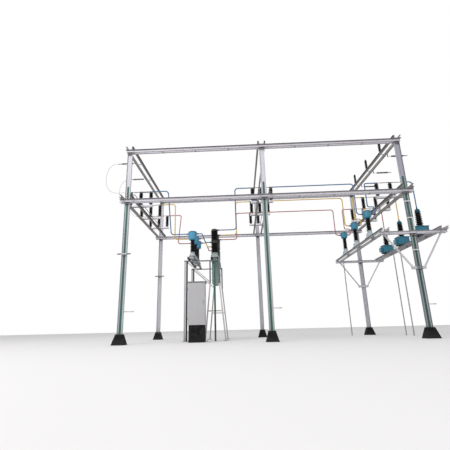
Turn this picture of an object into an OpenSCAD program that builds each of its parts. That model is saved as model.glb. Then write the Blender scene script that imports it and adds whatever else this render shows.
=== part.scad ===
// Outdoor medium-voltage switchgear bay: a six-column steel gantry that carries
// three sets of rotary isolators, with a three-pole circuit breaker, current
// transformers, voltage transformers and a control kiosk.
// X runs along the front of the bay, Y runs from front to back, Z is up.
// The origin is the underside centre of the front left footing, at ground level.

/* [Gantry] */
// Distance between the left and the middle columns
bay_left = 5500; // [4600:10:6600]
// Distance between the middle and the right columns
bay_right = 5500; // [4600:10:6600]
// Distance between the front and the rear columns
gantry_d = 6100; // [5600:10:7400]
// Height of the centre of the lower beams above the ground
mid_z = 5500; // [5300:10:6600]
// Height of the centre of the top beams above the ground
top_z = 7700; // [7400:10:9300]
// Depth of a column's section, along the front
col_d = 200; // [160:5:240]
// Width of a column's flanges, from front to back
col_w = 100; // [80:5:120]
// Web thickness of a column
col_web = 7; // [5:1:12]
// Flange thickness of a column
col_flange = 11; // [8:1:16]

/* [Beams] */
// Height of the beam channels
beam_h = 125; // [100:5:150]
// Flange width of the beam channels
beam_w = 65; // [50:5:75]
// Web thickness of the beam channels
beam_web = 6; // [5:1:9]
// Flange thickness of the beam channels
beam_flange = 8; // [6:1:11]
// How far the lower long beams run past the outer columns
beam_over = 300; // [200:10:450]
// How far the top long beams run past the outer columns
top_over = 120; // [110:10:300]
// How far the lower cross beams run past the front and rear columns
cross_over = 300; // [200:10:450]
// How far the top cross beams run past the front and rear columns
top_cross_over = 140; // [130:10:300]
// Half of the gap between the backs of the lower cross beams
cross_mid_half = 175; // [160:5:190]

/* [Footings] */
// Height of a footing above the ground
foot_h = 350; // [250:10:500]
// Width of a footing at the ground
foot_w = 460; // [400:10:700]
// Width of a footing at its top
foot_top_w = 260; // [250:10:420]

/* [Phases] */
// Distance between phases on the isolators and on the right transformers
phase_gap = 1750; // [1500:10:2100]
// Distance between the breaker's poles, and between the left current transformers
pole_gap = 900; // [760:10:1080]
// Height of the tube conductors above the lower beams' centre
bus_rise = 900; // [860:10:1080]
// Radius of the tube conductors
tube_r = 24; // [18:1:30]
// Bend radius of the tube conductors at their centre line
tube_bend = 130; // [90:5:180]

/* [Isolators] */
// Spacing of the left isolator's posts
post_gap_left = 450; // [380:10:540]
// Spacing of the middle isolator's posts
post_gap_mid = 400; // [380:10:480]
// Spacing of the right isolator's posts
post_gap_right = 580; // [480:10:700]
// How far the left isolator's centre lies to the right of its columns
shift_left = 160; // [100:5:200]
// Largest radius of a post insulator
post_r = 88; // [70:1:95]
// Core radius of a post insulator
post_core_r = 54; // [40:1:56]
// Number of sheds on a post insulator
post_sheds = 8; // [5:1:10]
// Height of an isolator's base channel
iso_base_h = 75; // [60:1:90]
// Width of an isolator's base channel
iso_base_w = 130; // [120:5:160]
// Length of the crank arms that gang the poles together
crank_r = 150; // [140:5:165]
// Distance from a front column's centre back to its operating shaft
shaft_back = 190; // [180:5:220]
// Height of the operating handle above the ground
handle_z = 1150; // [1000:10:1300]

/* [Breaker] */
// Distance from the left columns to the breaker
breaker_x = 3340; // [3200:10:3500]
// Height of the breaker's top terminals above the ground
breaker_top = 4800; // [4500:10:4900]
// Height of the underside of the poles' base housings
breaker_deck = 3500; // [3300:10:3600]
// Radius of the breaker's insulators over the sheds
pole_r = 156; // [120:1:165]
// Height of the mechanism housing
mech_h = 940; // [800:10:1000]
// Width of the mechanism housing along the front
mech_w = 330; // [280:10:400]
// Length of the mechanism housing from front to back
mech_d = 900; // [700:10:1000]

/* [Current transformers] */
// Distance from the left columns to the left current transformers
ct_x = 2350; // [2150:10:2400]
// Height of the left current transformers' support deck
ct_deck = 3470; // [3250:10:3600]
// Height of a current transformer from its foot to its head
ct_stem = 850; // [760:10:900]
// Radius of the left current transformers' heads
ct_head_r = 185; // [150:5:215]
// Height of the left current transformers' heads
ct_head_h = 430; // [360:10:500]
// Radius of the right current transformers' heads
ct_small_r = 158; // [130:2:175]
// Height of the right current transformers' heads
ct_small_h = 350; // [300:10:420]

/* [Outrigger] */
// Height of the centre of the outrigger's arms above the ground
out_z = 3810; // [3700:10:4000]
// Distance from the right columns to the left outrigger beam
out_left = 1100; // [950:10:1200]
// Distance from the right columns to the right outrigger beam
out_right = 1050; // [950:10:1200]
// Height at which the knee braces meet the columns
knee_z = 2480; // [2200:10:2700]
// Width of a voltage transformer's tank along the front
vt_w = 520; // [440:10:600]
// Depth of a voltage transformer's tank from front to back
vt_d = 400; // [340:10:480]
// Height of a voltage transformer's tank
vt_h = 400; // [340:10:460]

/* [Kiosk] */
// Distance from the left columns to the kiosk's left side
kiosk_x = 2360; // [2250:10:2420]
// Distance from the front columns back to the kiosk's door
kiosk_y = 820; // [600:10:900]
// Width of the kiosk
kiosk_w = 660; // [560:10:680]
// Depth of the kiosk
kiosk_d = 480; // [400:10:560]
// Height of the kiosk's cabinet
kiosk_h = 1620; // [1500:10:1900]
// Height of the kiosk's plinth
plinth_h = 640; // [300:10:700]
// Thickness of the kiosk's sheet walls
kiosk_wall = 4; // [3:1:6]

/* [Hidden] */
$fn = 48;
run_gap = 0.3;

// Grid lines
cols_x = [0, bay_left, bay_left + bay_right];
right_x = bay_left + bay_right;
phases_y = [for (k = [-1:1]) gantry_d / 2 + k * phase_gap];
poles_y = [for (k = [-1:1]) gantry_d / 2 + k * pole_gap];

// Levels
col_foot = 60;
col_rise = 90;
mid_top = mid_z + beam_h / 2;
iso_z = mid_top + beam_h;
col_top = top_z + beam_h / 2 + col_rise;
stool_z = iso_z + iso_base_h;
stool_h = 60;
stool_r = 58;
bus_z = mid_z + bus_rise;
cap_h = 42;
cap_r = 58;
cap_drop = 14;
post_z = stool_z + stool_h;
post_h = bus_z - cap_drop - cap_h - post_z;

// Small steelwork
cleat_t = 8;
cleat_w = 60;
cleat_h = 75;
tie_plate_t = 6;
tie_plate_w = 60;
strip_w = 75;
strip_t = 6;
strip_rise = 620;
strap_t = 5;
strap_w = 45;
strap_z = [out_z - 700, out_z + 550, out_z + 1220];
bracket_z = mid_z * 0.6;
bracket_reach = 260;
bracket_leg = 50;

// Isolator fittings
base_wall = 6;
base_end = 85;
flange_t = 8;
stool_neck = 40;
bearing_r = 44;
rotor_flange_t = 6;
lead = 85;
pad_t = 14;
pad_run = 68;
pad_w = 36;
clamp_wall = 7;

// Turning parts of the isolators and their drive
bearing_h = 22;
jaw_h = 32;
jaw_w = 44;
jaw_block = 30;
jaw_reach = 85;
finger_t = 4;
finger_inset = 1;
finger_w = 18;
finger_tip = 12;
finger_flare = 6;
blade_t = 12;
blade_w = 24;
blade_short = 40;
blade_sleeve_r = 15;
blade_sleeve_short = 130;
hub_half = 70;
tap_z = post_z + post_h + cap_h + jaw_h / 2;
crank_z = stool_z + 42;
crank_t = 10;
pin_r = 8;
pin_gap = 0.5;
rest_angle = -45;
crank_w = 40;
pin_drop = 34;
tie_drop = 20;
tie_r = 16;
tie_wall = 3;
tie_boss_r = 20;
tie_boss_h = 34;
tie_tail = 40;
shaft_r = 21;
hub_wall = 12;
hub_h = 24;
shaft_nut_r = 12;
shaft_nut_h = 14;
lever_r = 13;
lever_run = 420;
grip_r = 17;
grip_run = 130;
lever_hub_h = 40;
collar_h = 20;
pin_x = crank_r * cos(rest_angle);
pin_y = crank_r * sin(rest_angle);
guide_t = 12;
guide_w = 76;
guide_web = 8;
guide_ring_h = 16;
guide_ring_wall = 14;
guide_z = [1900, 3500, 4900];
shift_right = col_d / 2 - col_flange - guide_w / 2 - 1;

// Breaker
frame_over = 200;
frame_front = poles_y[0] - frame_over;
frame_back = poles_y[2] + frame_over;
leg_size = 60;
leg_t = 6;
carrier_h = 140;
cross_h = 60;
leg_top = breaker_deck - carrier_h - cross_h;
mech_z = breaker_deck - carrier_h - mech_h;
knee_top = mech_z - cross_h;
splay = 230;
frame_tie_z = 1180;
frame_tie_h = 50;
plate_t = 12;
foot_plate = 200;
pole_base_h = 210;
pole_mid_h = 130;
pole_cap_h = 120;
pole_ins_h = (breaker_top + 25 - breaker_deck - pole_base_h - pole_mid_h - pole_cap_h) / 2;
brk_reach = 220;
brk_term_z = breaker_top - 40;
brk_term_r = tube_r + 8;
brk_pad = [170, 90, 16];
housing_w = 320;
housing_d = 340;
housing_h = 147;
housing_top_w = 240;
pole_flange_t = 18;
panel_t = 6;
panel_edge = 35;
gland_r = 18;
gland_h = 45;

// Current transformers and their stand
right_ct_x = right_x - out_left;
ct_foot_h = 300;
ct_tap = 300;
ct_small_tap = 190;
ct_plate = 340;
ct_plate_t = 20;
ct_core_r = 72;
ct_shed_r = 108;
ct_shed_top_r = 98;
ct_sheds = 9;
ct_term_r = tube_r + 8;
ct_term_run = 95;
ct_boss_r = 46;
ct_boss_run = 30;
stand_left = ct_x - 330;
stand_run = 510;
stand_rail = 150;
rail_over = 350;
rail_h = 100;
rail_w = 50;
bearer = 60;
stand_leg_w = 150;
stand_top = ct_deck - rail_h - bearer;
stand_leg_x = breaker_x - mech_w / 2 - leg_size;
stand_brace_h = 62;
stand_brace_t = 10;

// Outrigger
out_beam_h = 100;
out_beam_w = 50;
out_half = 110;
arm_over = 200;
out_deck = out_z + 1.5 * out_beam_h;
brace_w = 42;
brace_t = 8;
brace_back = 40;
ear_t = 10;
ear_h = 100;
ear_run = 150;
ear_inset = 60;
spacer_r = 12;

// Conduits under the outrigger's beams
conduit_r = 25;
conduits = [
    [right_ct_x + out_half, gantry_d - 300],
    [right_x + out_right - out_half, gantry_d / 2 + 250],
    [right_x + out_right - out_half, gantry_d / 2 + 1000]
];

// Voltage transformers
vt_shift = -50;
vt_lid_t = 25;
vt_lid_over = 20;
vt_bearer = 45;
vt_round = 40;
vt_box = [110, 240, 200];
vt_bush_h = 700;
vt_bush_core = 92;
vt_bush_r = 146;
vt_bush_top_r = 122;
vt_term_r = 28;
vt_term_h = 160;
vt_cap_h = 40;
vt_neck_h = 90;
vt_x = right_x + out_right + vt_shift;
vt_top = out_deck + vt_h + vt_bush_h + vt_term_h;

// Runs of the tube conductors between their bends
drop_run = 680;
low_bend = 60;
riser_run = 990;
right_drop = 170;
right_lead = 80;
jog_rise = 320;
jog_back = 420;
jog_bend = 70;

// Elbow fittings: how far a tube enters one, and how much fatter it is
elbow_lap = 4;
elbow_wall = 1.5;

// Kiosk
plinth_inset = 20;
hinge_z = [plinth_h + 200, plinth_h + kiosk_h - 300];
hinge_r = 8;
hinge_h = 40;
hinge_off = 11;
hinge_leaf = 30;
hinge_pin_r = 4;
hinge_pin_h = 75;
hinge_play = 0.05;
hinge_flat = 6;
door_gap = 0.5;
door_t = 22;
door_skin = 3;
door_edge = 2;
grip = [20, 25, 120];
grip_inset = 70;
roof_over = 35;
roof_edge = 45;
roof_ridge = 25;

// Small posts on the top right cross beam
top_base_h = 30;
top_post_h = 430;
top_post_core = 36;
top_post_r = 64;
top_post_sheds = 7;
top_cap_h = 40;
top_cap_r = 26;

// Strain strings at the line end
string_x = col_d / 2 + beam_web;
right_string_x = col_d / 2 + beam_w;
string_z = top_z + beam_h;
eye_plate = 60;
eye_plate_t = 8;
right_string_drop = 170;
eye_run = 160;
string_sheds_run = 520;
string_shed_r = 45;
string_run = 860;
string_clamp_r = 12;
string_socket_r = 16;
string_socket_h = 40;

// The jumpers' route in X and Z, from a string's clamp to the terminal of the isolator
jumper_r = 8;
jumper_sides = 8;
jumper_steps = 6;
jumper_route = [
    [-966, 7825], [-1130, 7820], [-1320, 7690], [-1440, 7440], [-1480, 7120],
    [-1440, 6800], [-1300, 6550], [-1060, 6420], [-740, 6402], [-375, 6402]
];

// Colours
zinc = [0.72, 0.73, 0.76];
dark_zinc = [0.45, 0.46, 0.49];
porcelain = [0.12, 0.08, 0.09];
teal = [0.13, 0.52, 0.60];
earth_green = [0.09, 0.33, 0.28];
pale_grey = [0.78, 0.79, 0.80];
tube_blue = [0.25, 0.42, 0.70];
tube_yellow = [0.86, 0.68, 0.22];
tube_red = [0.76, 0.30, 0.34];

// A channel's section: its back on x = 0, its toes towards +x
module channel_section(h, w, web, flange) {
    polygon([
        [0, 0], [w, 0], [w, flange], [web, flange],
        [web, h - flange], [w, h - flange], [w, h], [0, h]
    ]);
}

// A section laid along X from x0 to x1, with its x as Y and its y as Z
module along_x(x0, x1) {
    translate([x0, 0, 0]) rotate([90, 0, 90]) linear_extrude(x1 - x0) children();
}

// A section laid along Y from y0 to y1, with its x as X and its y as Z
module along_y(y0, y1) {
    translate([0, y1, 0]) rotate([90, 0, 0]) linear_extrude(y1 - y0) children();
}

module beam_section() {
    channel_section(beam_h, beam_w, beam_web, beam_flange);
}

module column_section() {
    fl = col_flange;
    d = col_d / 2;
    w = col_w / 2;
    t = col_web / 2;
    polygon([
        [-d, -w], [-d + fl, -w], [-d + fl, -t], [d - fl, -t], [d - fl, -w], [d, -w],
        [d, w], [d - fl, w], [d - fl, t], [-d + fl, t], [-d + fl, w], [-d, w]
    ]);
}

// Two channels back to back along X, gripping the columns between them
module long_beam(y, z, over) {
    for (side = [-1, 1])
        translate([0, y + side * col_w / 2, z - beam_h / 2])
            mirror([0, side < 0 ? 1 : 0, 0])
                along_x(-over, right_x + over) beam_section();
}

// Two channels along Y, their backs at half the gap on either side of x
module cross_pair(x, half, z, over) {
    for (side = [-1, 1])
        translate([x + side * half, 0, z])
            mirror([side < 0 ? 1 : 0, 0, 0])
                along_y(-over, gantry_d + over) beam_section();
}

// A square frustum with plane sides, cut from two crossed wedges
module frustum(bottom, top, h) {
    intersection() {
        translate([0, bottom / 2, 0]) rotate([90, 0, 0]) linear_extrude(bottom)
            polygon([[-bottom / 2, 0], [bottom / 2, 0], [top / 2, h], [-top / 2, h]]);
        rotate([90, 0, 90]) translate([0, 0, -bottom / 2]) linear_extrude(bottom)
            polygon([[-bottom / 2, 0], [bottom / 2, 0], [top / 2, h], [-top / 2, h]]);
    }
}

// The turned profile of a shedded insulator, its sheds narrowing from shed to top
function shed_profile(h, core, shed, count, top) = let (
    pitch = h / count
) concat(
    [[0, 0], [core, 0]],
    [for (k = [0:count - 1]) let (r = shed + (top - shed) * k / (count - 1)) each [
        [core, (k + 0.30) * pitch],
        [r, (k + 0.42) * pitch],
        [r, (k + 0.52) * pitch],
        [core, (k + 0.86) * pitch]
    ]],
    [[core, h], [0, h]]
);

module shedded(h, core, shed, count, top = 0) {
    rotate_extrude() polygon(shed_profile(h, core, shed, count, top == 0 ? shed : top));
}

// A rounded rectangle's outline about its centre
function rounded(w, d, r, steps = 6) = [
    for (c = [[1, 1, 0], [-1, 1, 90], [-1, -1, 180], [1, -1, 270]], k = [0:steps])
        let (a = c[2] + 90 * k / steps)
            [c[0] * (w / 2 - r) + r * cos(a), c[1] * (d / 2 - r) + r * sin(a)]
];

// Vector helpers for the bent tubes
function unit(v) = v / norm(v);
function trim_of(a, b, c, bend) = let (
    turn = acos(max(-1, min(1, unit(b - a) * unit(c - b))))
) bend * tan(turn / 2);

// A rod between two points, without its ends' trims
module rod(a, b, r) {
    d = b - a;
    translate(a)
        rotate([0, acos(d.z / norm(d)), atan2(d.y, d.x)])
            cylinder(h = norm(d), r = r);
}

// The bent part of a tube at point b, on the way from a to c
module elbow(a, b, c, r, bend) {
    u = unit(b - a);
    w = unit(c - b);
    turn = acos(u * w);
    n = unit(cross(u, w));
    inward = cross(n, u);
    start = b - u * bend * tan(turn / 2);
    centre = start + inward * bend;
    // Local x points from the centre to the start, local z is the turn's axis
    multmatrix([
        [-inward.x, u.x, n.x, centre.x],
        [-inward.y, u.y, n.y, centre.y],
        [-inward.z, u.z, n.z, centre.z],
        [0, 0, 0, 1]
    ]) rotate_extrude(angle = turn) translate([bend, 0]) circle(r);
}

// A round tube along a list of points, with an elbow fitting at each inner point
module bent_tube(points, r, bend) {
    last = len(points) - 1;
    for (k = [0:last - 1]) {
        a = points[k];
        b = points[k + 1];
        u = unit(b - a);
        from = k == 0 ? a : a + u * (trim_of(points[k - 1], a, b, bend) - elbow_lap);
        to = k == last - 1 ? b : b - u * (trim_of(a, b, points[k + 2], bend) - elbow_lap);
        rod(from, to, r);
    }
    for (k = [1:1:last - 1])
        elbow(points[k - 1], points[k], points[k + 1], r + elbow_wall, bend);
}

// A smooth curve through chosen points
function held(p, k) = p[max(0, min(len(p) - 1, k))];
function between(a, b, c, d, t) =
    (2 * b + (c - a) * t + (2 * a - 5 * b + 4 * c - d) * t * t + (3 * b - a - 3 * c + d) * t * t * t) / 2;
function smooth(p, steps) = [
    for (k = [0:len(p) - 2], s = [0:steps - 1])
        between(held(p, k - 1), p[k], p[k + 1], held(p, k + 2), s / steps),
    p[len(p) - 1]
];

// A round cord swept along a route in the XZ plane, both of its ends square to X
module swept(route, r, sides) {
    last = len(route) - 1;
    rings = [for (k = [0:last]) let (
        along = k == 0 ? [-1, 0] : k == last ? [1, 0] : unit(route[k + 1] - route[k - 1])
    ) for (s = [0:sides - 1]) let (a = 360 * (s + 0.5) / sides) [
        route[k].x - r * cos(a) * along.y, r * sin(a), route[k].y + r * cos(a) * along.x
    ]];
    polyhedron(rings, concat(
        [[for (s = [0:sides - 1]) s]],
        [for (k = [0:last - 1], s = [0:sides - 1]) let (
            a = k * sides + s,
            b = k * sides + (s + 1) % sides
        ) each [[a, a + sides, b], [b, a + sides, b + sides]]],
        [[for (s = [sides - 1:-1:0]) last * sides + s]]
    ));
}

// Structure
module footings() {
    color([0.16, 0.16, 0.17])
    for (x = cols_x, y = [0, gantry_d])
        translate([x, y, 0]) difference() {
            frustum(foot_w, foot_top_w, foot_h);
            translate([0, 0, col_foot]) linear_extrude(foot_h) column_section();
        }
}

module column_row(y) {
    for (x = cols_x)
        translate([x, y, col_foot]) linear_extrude(col_top - col_foot) column_section();
}

module front_columns() {
    color(zinc) column_row(0);
}

module rear_columns() {
    color(zinc) column_row(gantry_d);
}

module top_front_beam() {
    color(zinc) long_beam(0, top_z, top_over);
}

module top_rear_beam() {
    color(zinc) long_beam(gantry_d, top_z, top_over);
}

module lower_front_beam() {
    color(zinc) long_beam(0, mid_z, beam_over);
}

module lower_rear_beam() {
    color(zinc) long_beam(gantry_d, mid_z, beam_over);
}

module top_cross_beams() {
    color(dark_zinc)
    for (x = cols_x)
        cross_pair(x, col_d / 2, top_z + beam_h / 2, top_cross_over);
}

module lower_cross_beams() {
    color(dark_zinc)
    for (x = cols_x)
        cross_pair(x, cross_mid_half, mid_top, cross_over);
}

// Flat plates that tie two channels together, under the long beams and at each phase
// under the outer top cross beams
module beam_cleats() {
    color(zinc) {
        for (y = [0, gantry_d], z = [top_z, mid_z], bay = [0, 1], k = [1:3])
            translate([
                cols_x[bay] + (cols_x[bay + 1] - cols_x[bay]) * k / 4 - tie_plate_w / 2,
                y - col_w / 2 - beam_w,
                z - beam_h / 2 - tie_plate_t
            ]) cube([tie_plate_w, col_w + 2 * beam_w, tie_plate_t]);
        for (x = [0, right_x], y = phases_y)
            translate([x - col_d / 2 - beam_w, y - tie_plate_w / 2, top_z + beam_h / 2 - tie_plate_t])
                cube([col_d + 2 * beam_w, tie_plate_w, tie_plate_t]);
    }
}

// Two angle cleats against a column, under the channels of a long beam
module cleat_pair(x, y, z) {
    for (side = [0, 1])
        translate([0, y, z]) mirror([0, side, 0]) translate([0, col_w / 2, 0])
            along_x(x - col_d / 2, x + col_d / 2) polygon([
                [0, 0], [0, -cleat_h], [cleat_t, -cleat_h], [cleat_t, -cleat_t],
                [cleat_w, -cleat_t], [cleat_w, 0]
            ]);
}

module seat_cleats() {
    color(dark_zinc)
    for (y = [0, gantry_d]) {
        for (x = cols_x, z = [top_z, mid_z]) cleat_pair(x, y, z - beam_h / 2);
        cleat_pair(right_x, y, out_z - out_beam_h / 2);
    }
}

// Earthing flats up the front face of each front column's web
module earth_strips() {
    color(earth_green) {
        for (x = cols_x)
            translate([x - strip_w / 2, -col_web / 2 - strip_t, foot_h])
                cube([strip_w, strip_t, mid_z + strip_rise - foot_h]);
        translate([breaker_x - strip_w / 2, frame_front - leg_size / 2 - strip_t, 0])
            cube([strip_w, strip_t, breaker_deck - carrier_h]);
    }
}

// Straps round the right front column, and the angle brackets on the left ones
module column_straps() {
    w = col_d + 2 * strap_t;
    d = col_w + 2 * strap_t;
    leg = bracket_leg;
    t = strap_t;
    color(pale_grey)
    for (z = strap_z)
        translate([right_x, 0, z]) difference() {
            translate([-w / 2, -d / 2, 0]) cube([w, d, strap_w]);
            translate([-col_d / 2, -col_w / 2, -1]) cube([col_d, col_w, strap_w + 2]);
        }
    color(dark_zinc)
    for (y = [0, gantry_d])
        translate([0, y - col_w / 2, bracket_z]) mirror([0, 1, 0])
            along_x(-bracket_reach, bracket_reach)
                polygon([[0, 0], [leg, 0], [leg, t], [t, t], [t, leg], [0, leg]]);
}

// Isolators. Each set has a row, x of its centre and the spacing of its posts
sets = [
    [shift_left, post_gap_left, 0],
    [bay_left, post_gap_mid, bay_left],
    [right_x + shift_right, post_gap_right, right_x + shift_right]
];

// The base channel lies toes down across both cross beams
module isolator_base(gap) {
    w = iso_base_w / 2;
    h = iso_base_h;
    t = base_wall;
    along_x(-gap - base_end, gap + base_end)
        polygon([
            [-w, 0], [-w + t, 0], [-w + t, h - t], [w - t, h - t],
            [w - t, 0], [w, 0], [w, h], [-w, h]
        ]);
}

// A cast stool: a flange at each end and a waist between them
module stool(h) {
    rotate_extrude() polygon([
        [0, 0], [stool_r, 0], [stool_r, flange_t], [stool_neck, 2 * flange_t],
        [stool_neck, h - 2 * flange_t], [stool_r, h - flange_t], [stool_r, h], [0, h]
    ]);
}

// The bearing housing that a turning post stands in
module bearing_housing(h) {
    rotate_extrude() polygon([
        [0, 0], [stool_r, 0], [stool_r, flange_t], [bearing_r, flange_t], [bearing_r, h], [0, h]
    ]);
}

// The metal cap on a post: a skirt round the porcelain, a neck and a top flange
module metal_cap() {
    rotate_extrude() polygon([
        [0, 0], [cap_r + 4, 0], [cap_r + 4, cap_h / 2], [cap_r - 6, cap_h / 2 + flange_t],
        [cap_r - 6, cap_h - flange_t], [cap_r, cap_h - flange_t], [cap_r, cap_h], [0, cap_h]
    ]);
}

module isolator_bases() {
    color(dark_zinc)
    for (s = sets, y = phases_y)
        translate([s[0], y, iso_z]) {
            isolator_base(s[1]);
            translate([0, 0, iso_base_h + run_gap]) {
                for (side = [-1, 1]) translate([side * s[1], 0, 0]) stool(stool_h - run_gap);
                bearing_housing(bearing_h - run_gap);
            }
        }
}

module isolator_end_insulators() {
    color(porcelain)
    for (s = sets, y = phases_y, side = [-1, 1])
        translate([s[0] + side * s[1], y, post_z])
            shedded(post_h, post_core_r, post_r, post_sheds);
}

// A contact finger from the side: level, its tip turned away from the blade
module finger_outline() {
    root = jaw_reach - finger_tip;
    polygon([
        [0, 0], [-root, 0], [-jaw_reach, -finger_flare], [-jaw_reach, finger_t - finger_flare],
        [-root, finger_t], [0, finger_t]
    ]);
}

// Cap, contact block, the tube's clamp, and the fingers that the blade turns in between
module end_contact() {
    metal_cap();
    translate([-jaw_block, -jaw_w / 2, cap_h]) cube([2 * jaw_block, jaw_w, jaw_h]);
    translate([0, -pad_w / 2, cap_h + (jaw_h - pad_t) / 2]) cube([pad_run, pad_w, pad_t]);
    translate([pad_run - flange_t, 0, cap_h + jaw_h / 2]) rotate([0, 90, 0])
        cylinder(h = lead - pad_run + flange_t, r = tube_r + clamp_wall);
    for (level = [0, 1], side = [0, 1])
        translate([0, 0, cap_h + level * jaw_h]) mirror([0, 0, level]) mirror([0, side, 0])
            translate([0, 0, finger_inset])
                along_y(jaw_w / 2 - finger_inset - finger_w, jaw_w / 2 - finger_inset) finger_outline();
}

module isolator_end_contacts() {
    color(dark_zinc)
    for (s = sets, y = phases_y, side = [-1, 1])
        translate([s[0] + side * s[1], y, post_z + post_h])
            rotate([0, 0, side < 0 ? 180 : 0]) end_contact();
}

// The turning middle post: its foot, crank and insulator, and the blade on top
module rotor(gap) {
    blade_r = gap - blade_short;
    sleeve = gap - blade_sleeve_short;
    foot = stool_h - bearing_h - run_gap;
    translate([0, 0, post_z - foot]) rotate_extrude() polygon([
        [0, 0], [bearing_r, 0], [bearing_r, foot - rotor_flange_t],
        [stool_r, foot - rotor_flange_t], [stool_r, foot], [0, foot]
    ]);
    crank_arm(crank_z);
    translate([0, 0, post_z]) shedded(post_h, post_core_r, post_r, post_sheds);
    translate([0, 0, post_z + post_h]) {
        metal_cap();
        translate([-blade_r, -blade_w / 2, cap_h + (jaw_h - blade_t) / 2])
            cube([2 * blade_r, blade_w, blade_t]);
        translate([-sleeve, 0, cap_h + jaw_h / 2]) rotate([0, 90, 0])
            cylinder(h = 2 * sleeve, r = blade_sleeve_r);
        translate([-hub_half, -jaw_w / 2, cap_h]) cube([2 * hub_half, jaw_w, jaw_h]);
    }
}

// A flat arm from the shaft's centre to the crank pin, with the pin below it
module crank_arm(z) {
    rotate([0, 0, rest_angle]) {
        translate([0, -crank_w / 2, z]) cube([crank_r, crank_w, crank_t]);
        translate([crank_r, 0, z]) cylinder(h = crank_t, r = crank_w / 2);
        translate([crank_r, 0, z - pin_drop]) cylinder(h = pin_drop, r = pin_r);
    }
}

module rotor_at(set, phase) {
    color(porcelain) translate([sets[set][0], phases_y[phase], 0]) rotor(sets[set][1]);
}

module left_blue_rotor() { rotor_at(0, 0); }
module left_yellow_rotor() { rotor_at(0, 1); }
module left_red_rotor() { rotor_at(0, 2); }
module middle_blue_rotor() { rotor_at(1, 0); }
module middle_yellow_rotor() { rotor_at(1, 1); }
module middle_red_rotor() { rotor_at(1, 2); }
module right_blue_rotor() { rotor_at(2, 0); }
module right_yellow_rotor() { rotor_at(2, 1); }
module right_red_rotor() { rotor_at(2, 2); }

// The tube that ties the three poles' cranks to the operating shaft
module tie_tube(set) {
    x = sets[set][0] + pin_x;
    x0 = sets[set][2] + pin_x;
    z = crank_z - tie_drop;
    y_front = shaft_back + pin_y;
    pins = concat([[x0, y_front]], [for (p = phases_y) [x, p + pin_y]]);
    color(zinc) difference() {
        union() {
            translate([x, y_front, z]) rotate([-90, 0, 0])
                cylinder(h = phases_y[2] + pin_y + tie_tail - y_front, r = tie_r);
            for (p = pins)
                translate([p.x, p.y, z - tie_boss_h / 2]) cylinder(h = tie_boss_h, r = tie_boss_r);
            if (x > x0) {
                translate([x0, y_front, z]) rotate([0, 90, 0]) cylinder(h = x - x0, r = tie_r);
                translate([x, y_front, z - tie_boss_h / 2]) cylinder(h = tie_boss_h, r = tie_boss_r);
            }
        }
        translate([x, y_front + tie_boss_r + tie_wall, z]) rotate([-90, 0, 0])
            cylinder(h = phases_y[2] + pin_y + tie_tail - y_front, r = tie_r - tie_wall);
        for (p = pins)
            translate([p.x, p.y, z - tie_boss_h]) cylinder(h = 2 * tie_boss_h, r = pin_r + pin_gap);
    }
}

module left_tie_tube() { tie_tube(0); }
module middle_tie_tube() { tie_tube(1); }
module right_tie_tube() { tie_tube(2); }

// The upright shaft behind a front column, with its crank above and lever below
module operating_shaft(set) {
    color(zinc) translate([sets[set][2], shaft_back, 0]) {
        translate([0, 0, handle_z]) cylinder(h = crank_z + crank_t - handle_z, r = shaft_r);
        crank_arm(crank_z);
        translate([0, 0, crank_z - hub_h]) cylinder(h = hub_h, r = shaft_r + hub_wall);
        translate([0, 0, crank_z + crank_t]) cylinder(h = shaft_nut_h, r = shaft_nut_r);
        translate([0, 0, handle_z]) cylinder(h = lever_hub_h, r = shaft_r + hub_wall);
        translate([0, 0, handle_z + lever_hub_h / 2]) rotate([0, 90, 0]) {
            cylinder(h = lever_run, r = lever_r);
            translate([0, 0, lever_run - grip_run]) cylinder(h = grip_run, r = grip_r);
        }
        translate([0, 0, guide_z[0] + guide_t + run_gap]) cylinder(h = collar_h, r = shaft_r + hub_wall);
    }
}

module left_operating_shaft() { operating_shaft(0); }
module middle_operating_shaft() { operating_shaft(1); }
module right_operating_shaft() { operating_shaft(2); }

// Brackets on the columns' webs, each with a guide ring and a gusset below its plate
module shaft_guides() {
    w = guide_w / 2;
    face = col_web / 2;
    ring_r = shaft_r + guide_ring_wall;
    color(zinc)
    for (s = sets, z = guide_z) let (x = s[2])
        difference() {
            union() {
                translate([x - w, face, z]) cube([guide_w, shaft_back + w - face, guide_t]);
                translate([x, shaft_back, z - guide_ring_h])
                    cylinder(h = guide_ring_h + guide_t / 2, r = ring_r);
                along_x(x - guide_web / 2, x + guide_web / 2)
                    polygon([[face, z], [face, z - guide_w], [shaft_back - ring_r - w, z]]);
            }
            translate([x, shaft_back, z - guide_w])
                cylinder(h = 2 * guide_w, r = shaft_r + pin_gap);
        }
}

// Breaker
// A leg's face: upright beside the mechanism housing, splayed below it
module leg_outline(inner, outer) {
    polygon([
        [inner, leg_top], [inner, knee_top], [inner + splay, plate_t],
        [outer + splay, plate_t], [outer, knee_top], [outer, leg_top]
    ]);
}

// An angle-steel leg with its heel outwards, on its foot plate
module frame_leg() {
    outer = mech_w / 2 + leg_size;
    along_y(0, leg_t) leg_outline(mech_w / 2, outer);
    along_y(0, leg_size) leg_outline(outer - leg_t, outer);
    translate([outer - leg_size / 2 + splay - foot_plate / 2, (leg_size - foot_plate) / 2, 0])
        cube([foot_plate, foot_plate, plate_t]);
}

// The legs at one end of the frame, with their cross channel and tie bar
module frame_end() {
    half = mech_w / 2 + leg_size / 2 + splay * (1 - frame_tie_z / knee_top);
    color(zinc) {
        for (side = [0, 1]) mirror([side, 0, 0]) frame_leg();
        translate([-half, leg_t, frame_tie_z]) cube([2 * half, leg_t, frame_tie_h]);
    }
    color(dark_zinc) translate([0, 0, leg_top])
        along_x(-mech_w / 2 - leg_size, mech_w / 2 + leg_size)
            channel_section(cross_h, leg_size, base_wall, flange_t);
}

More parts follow.
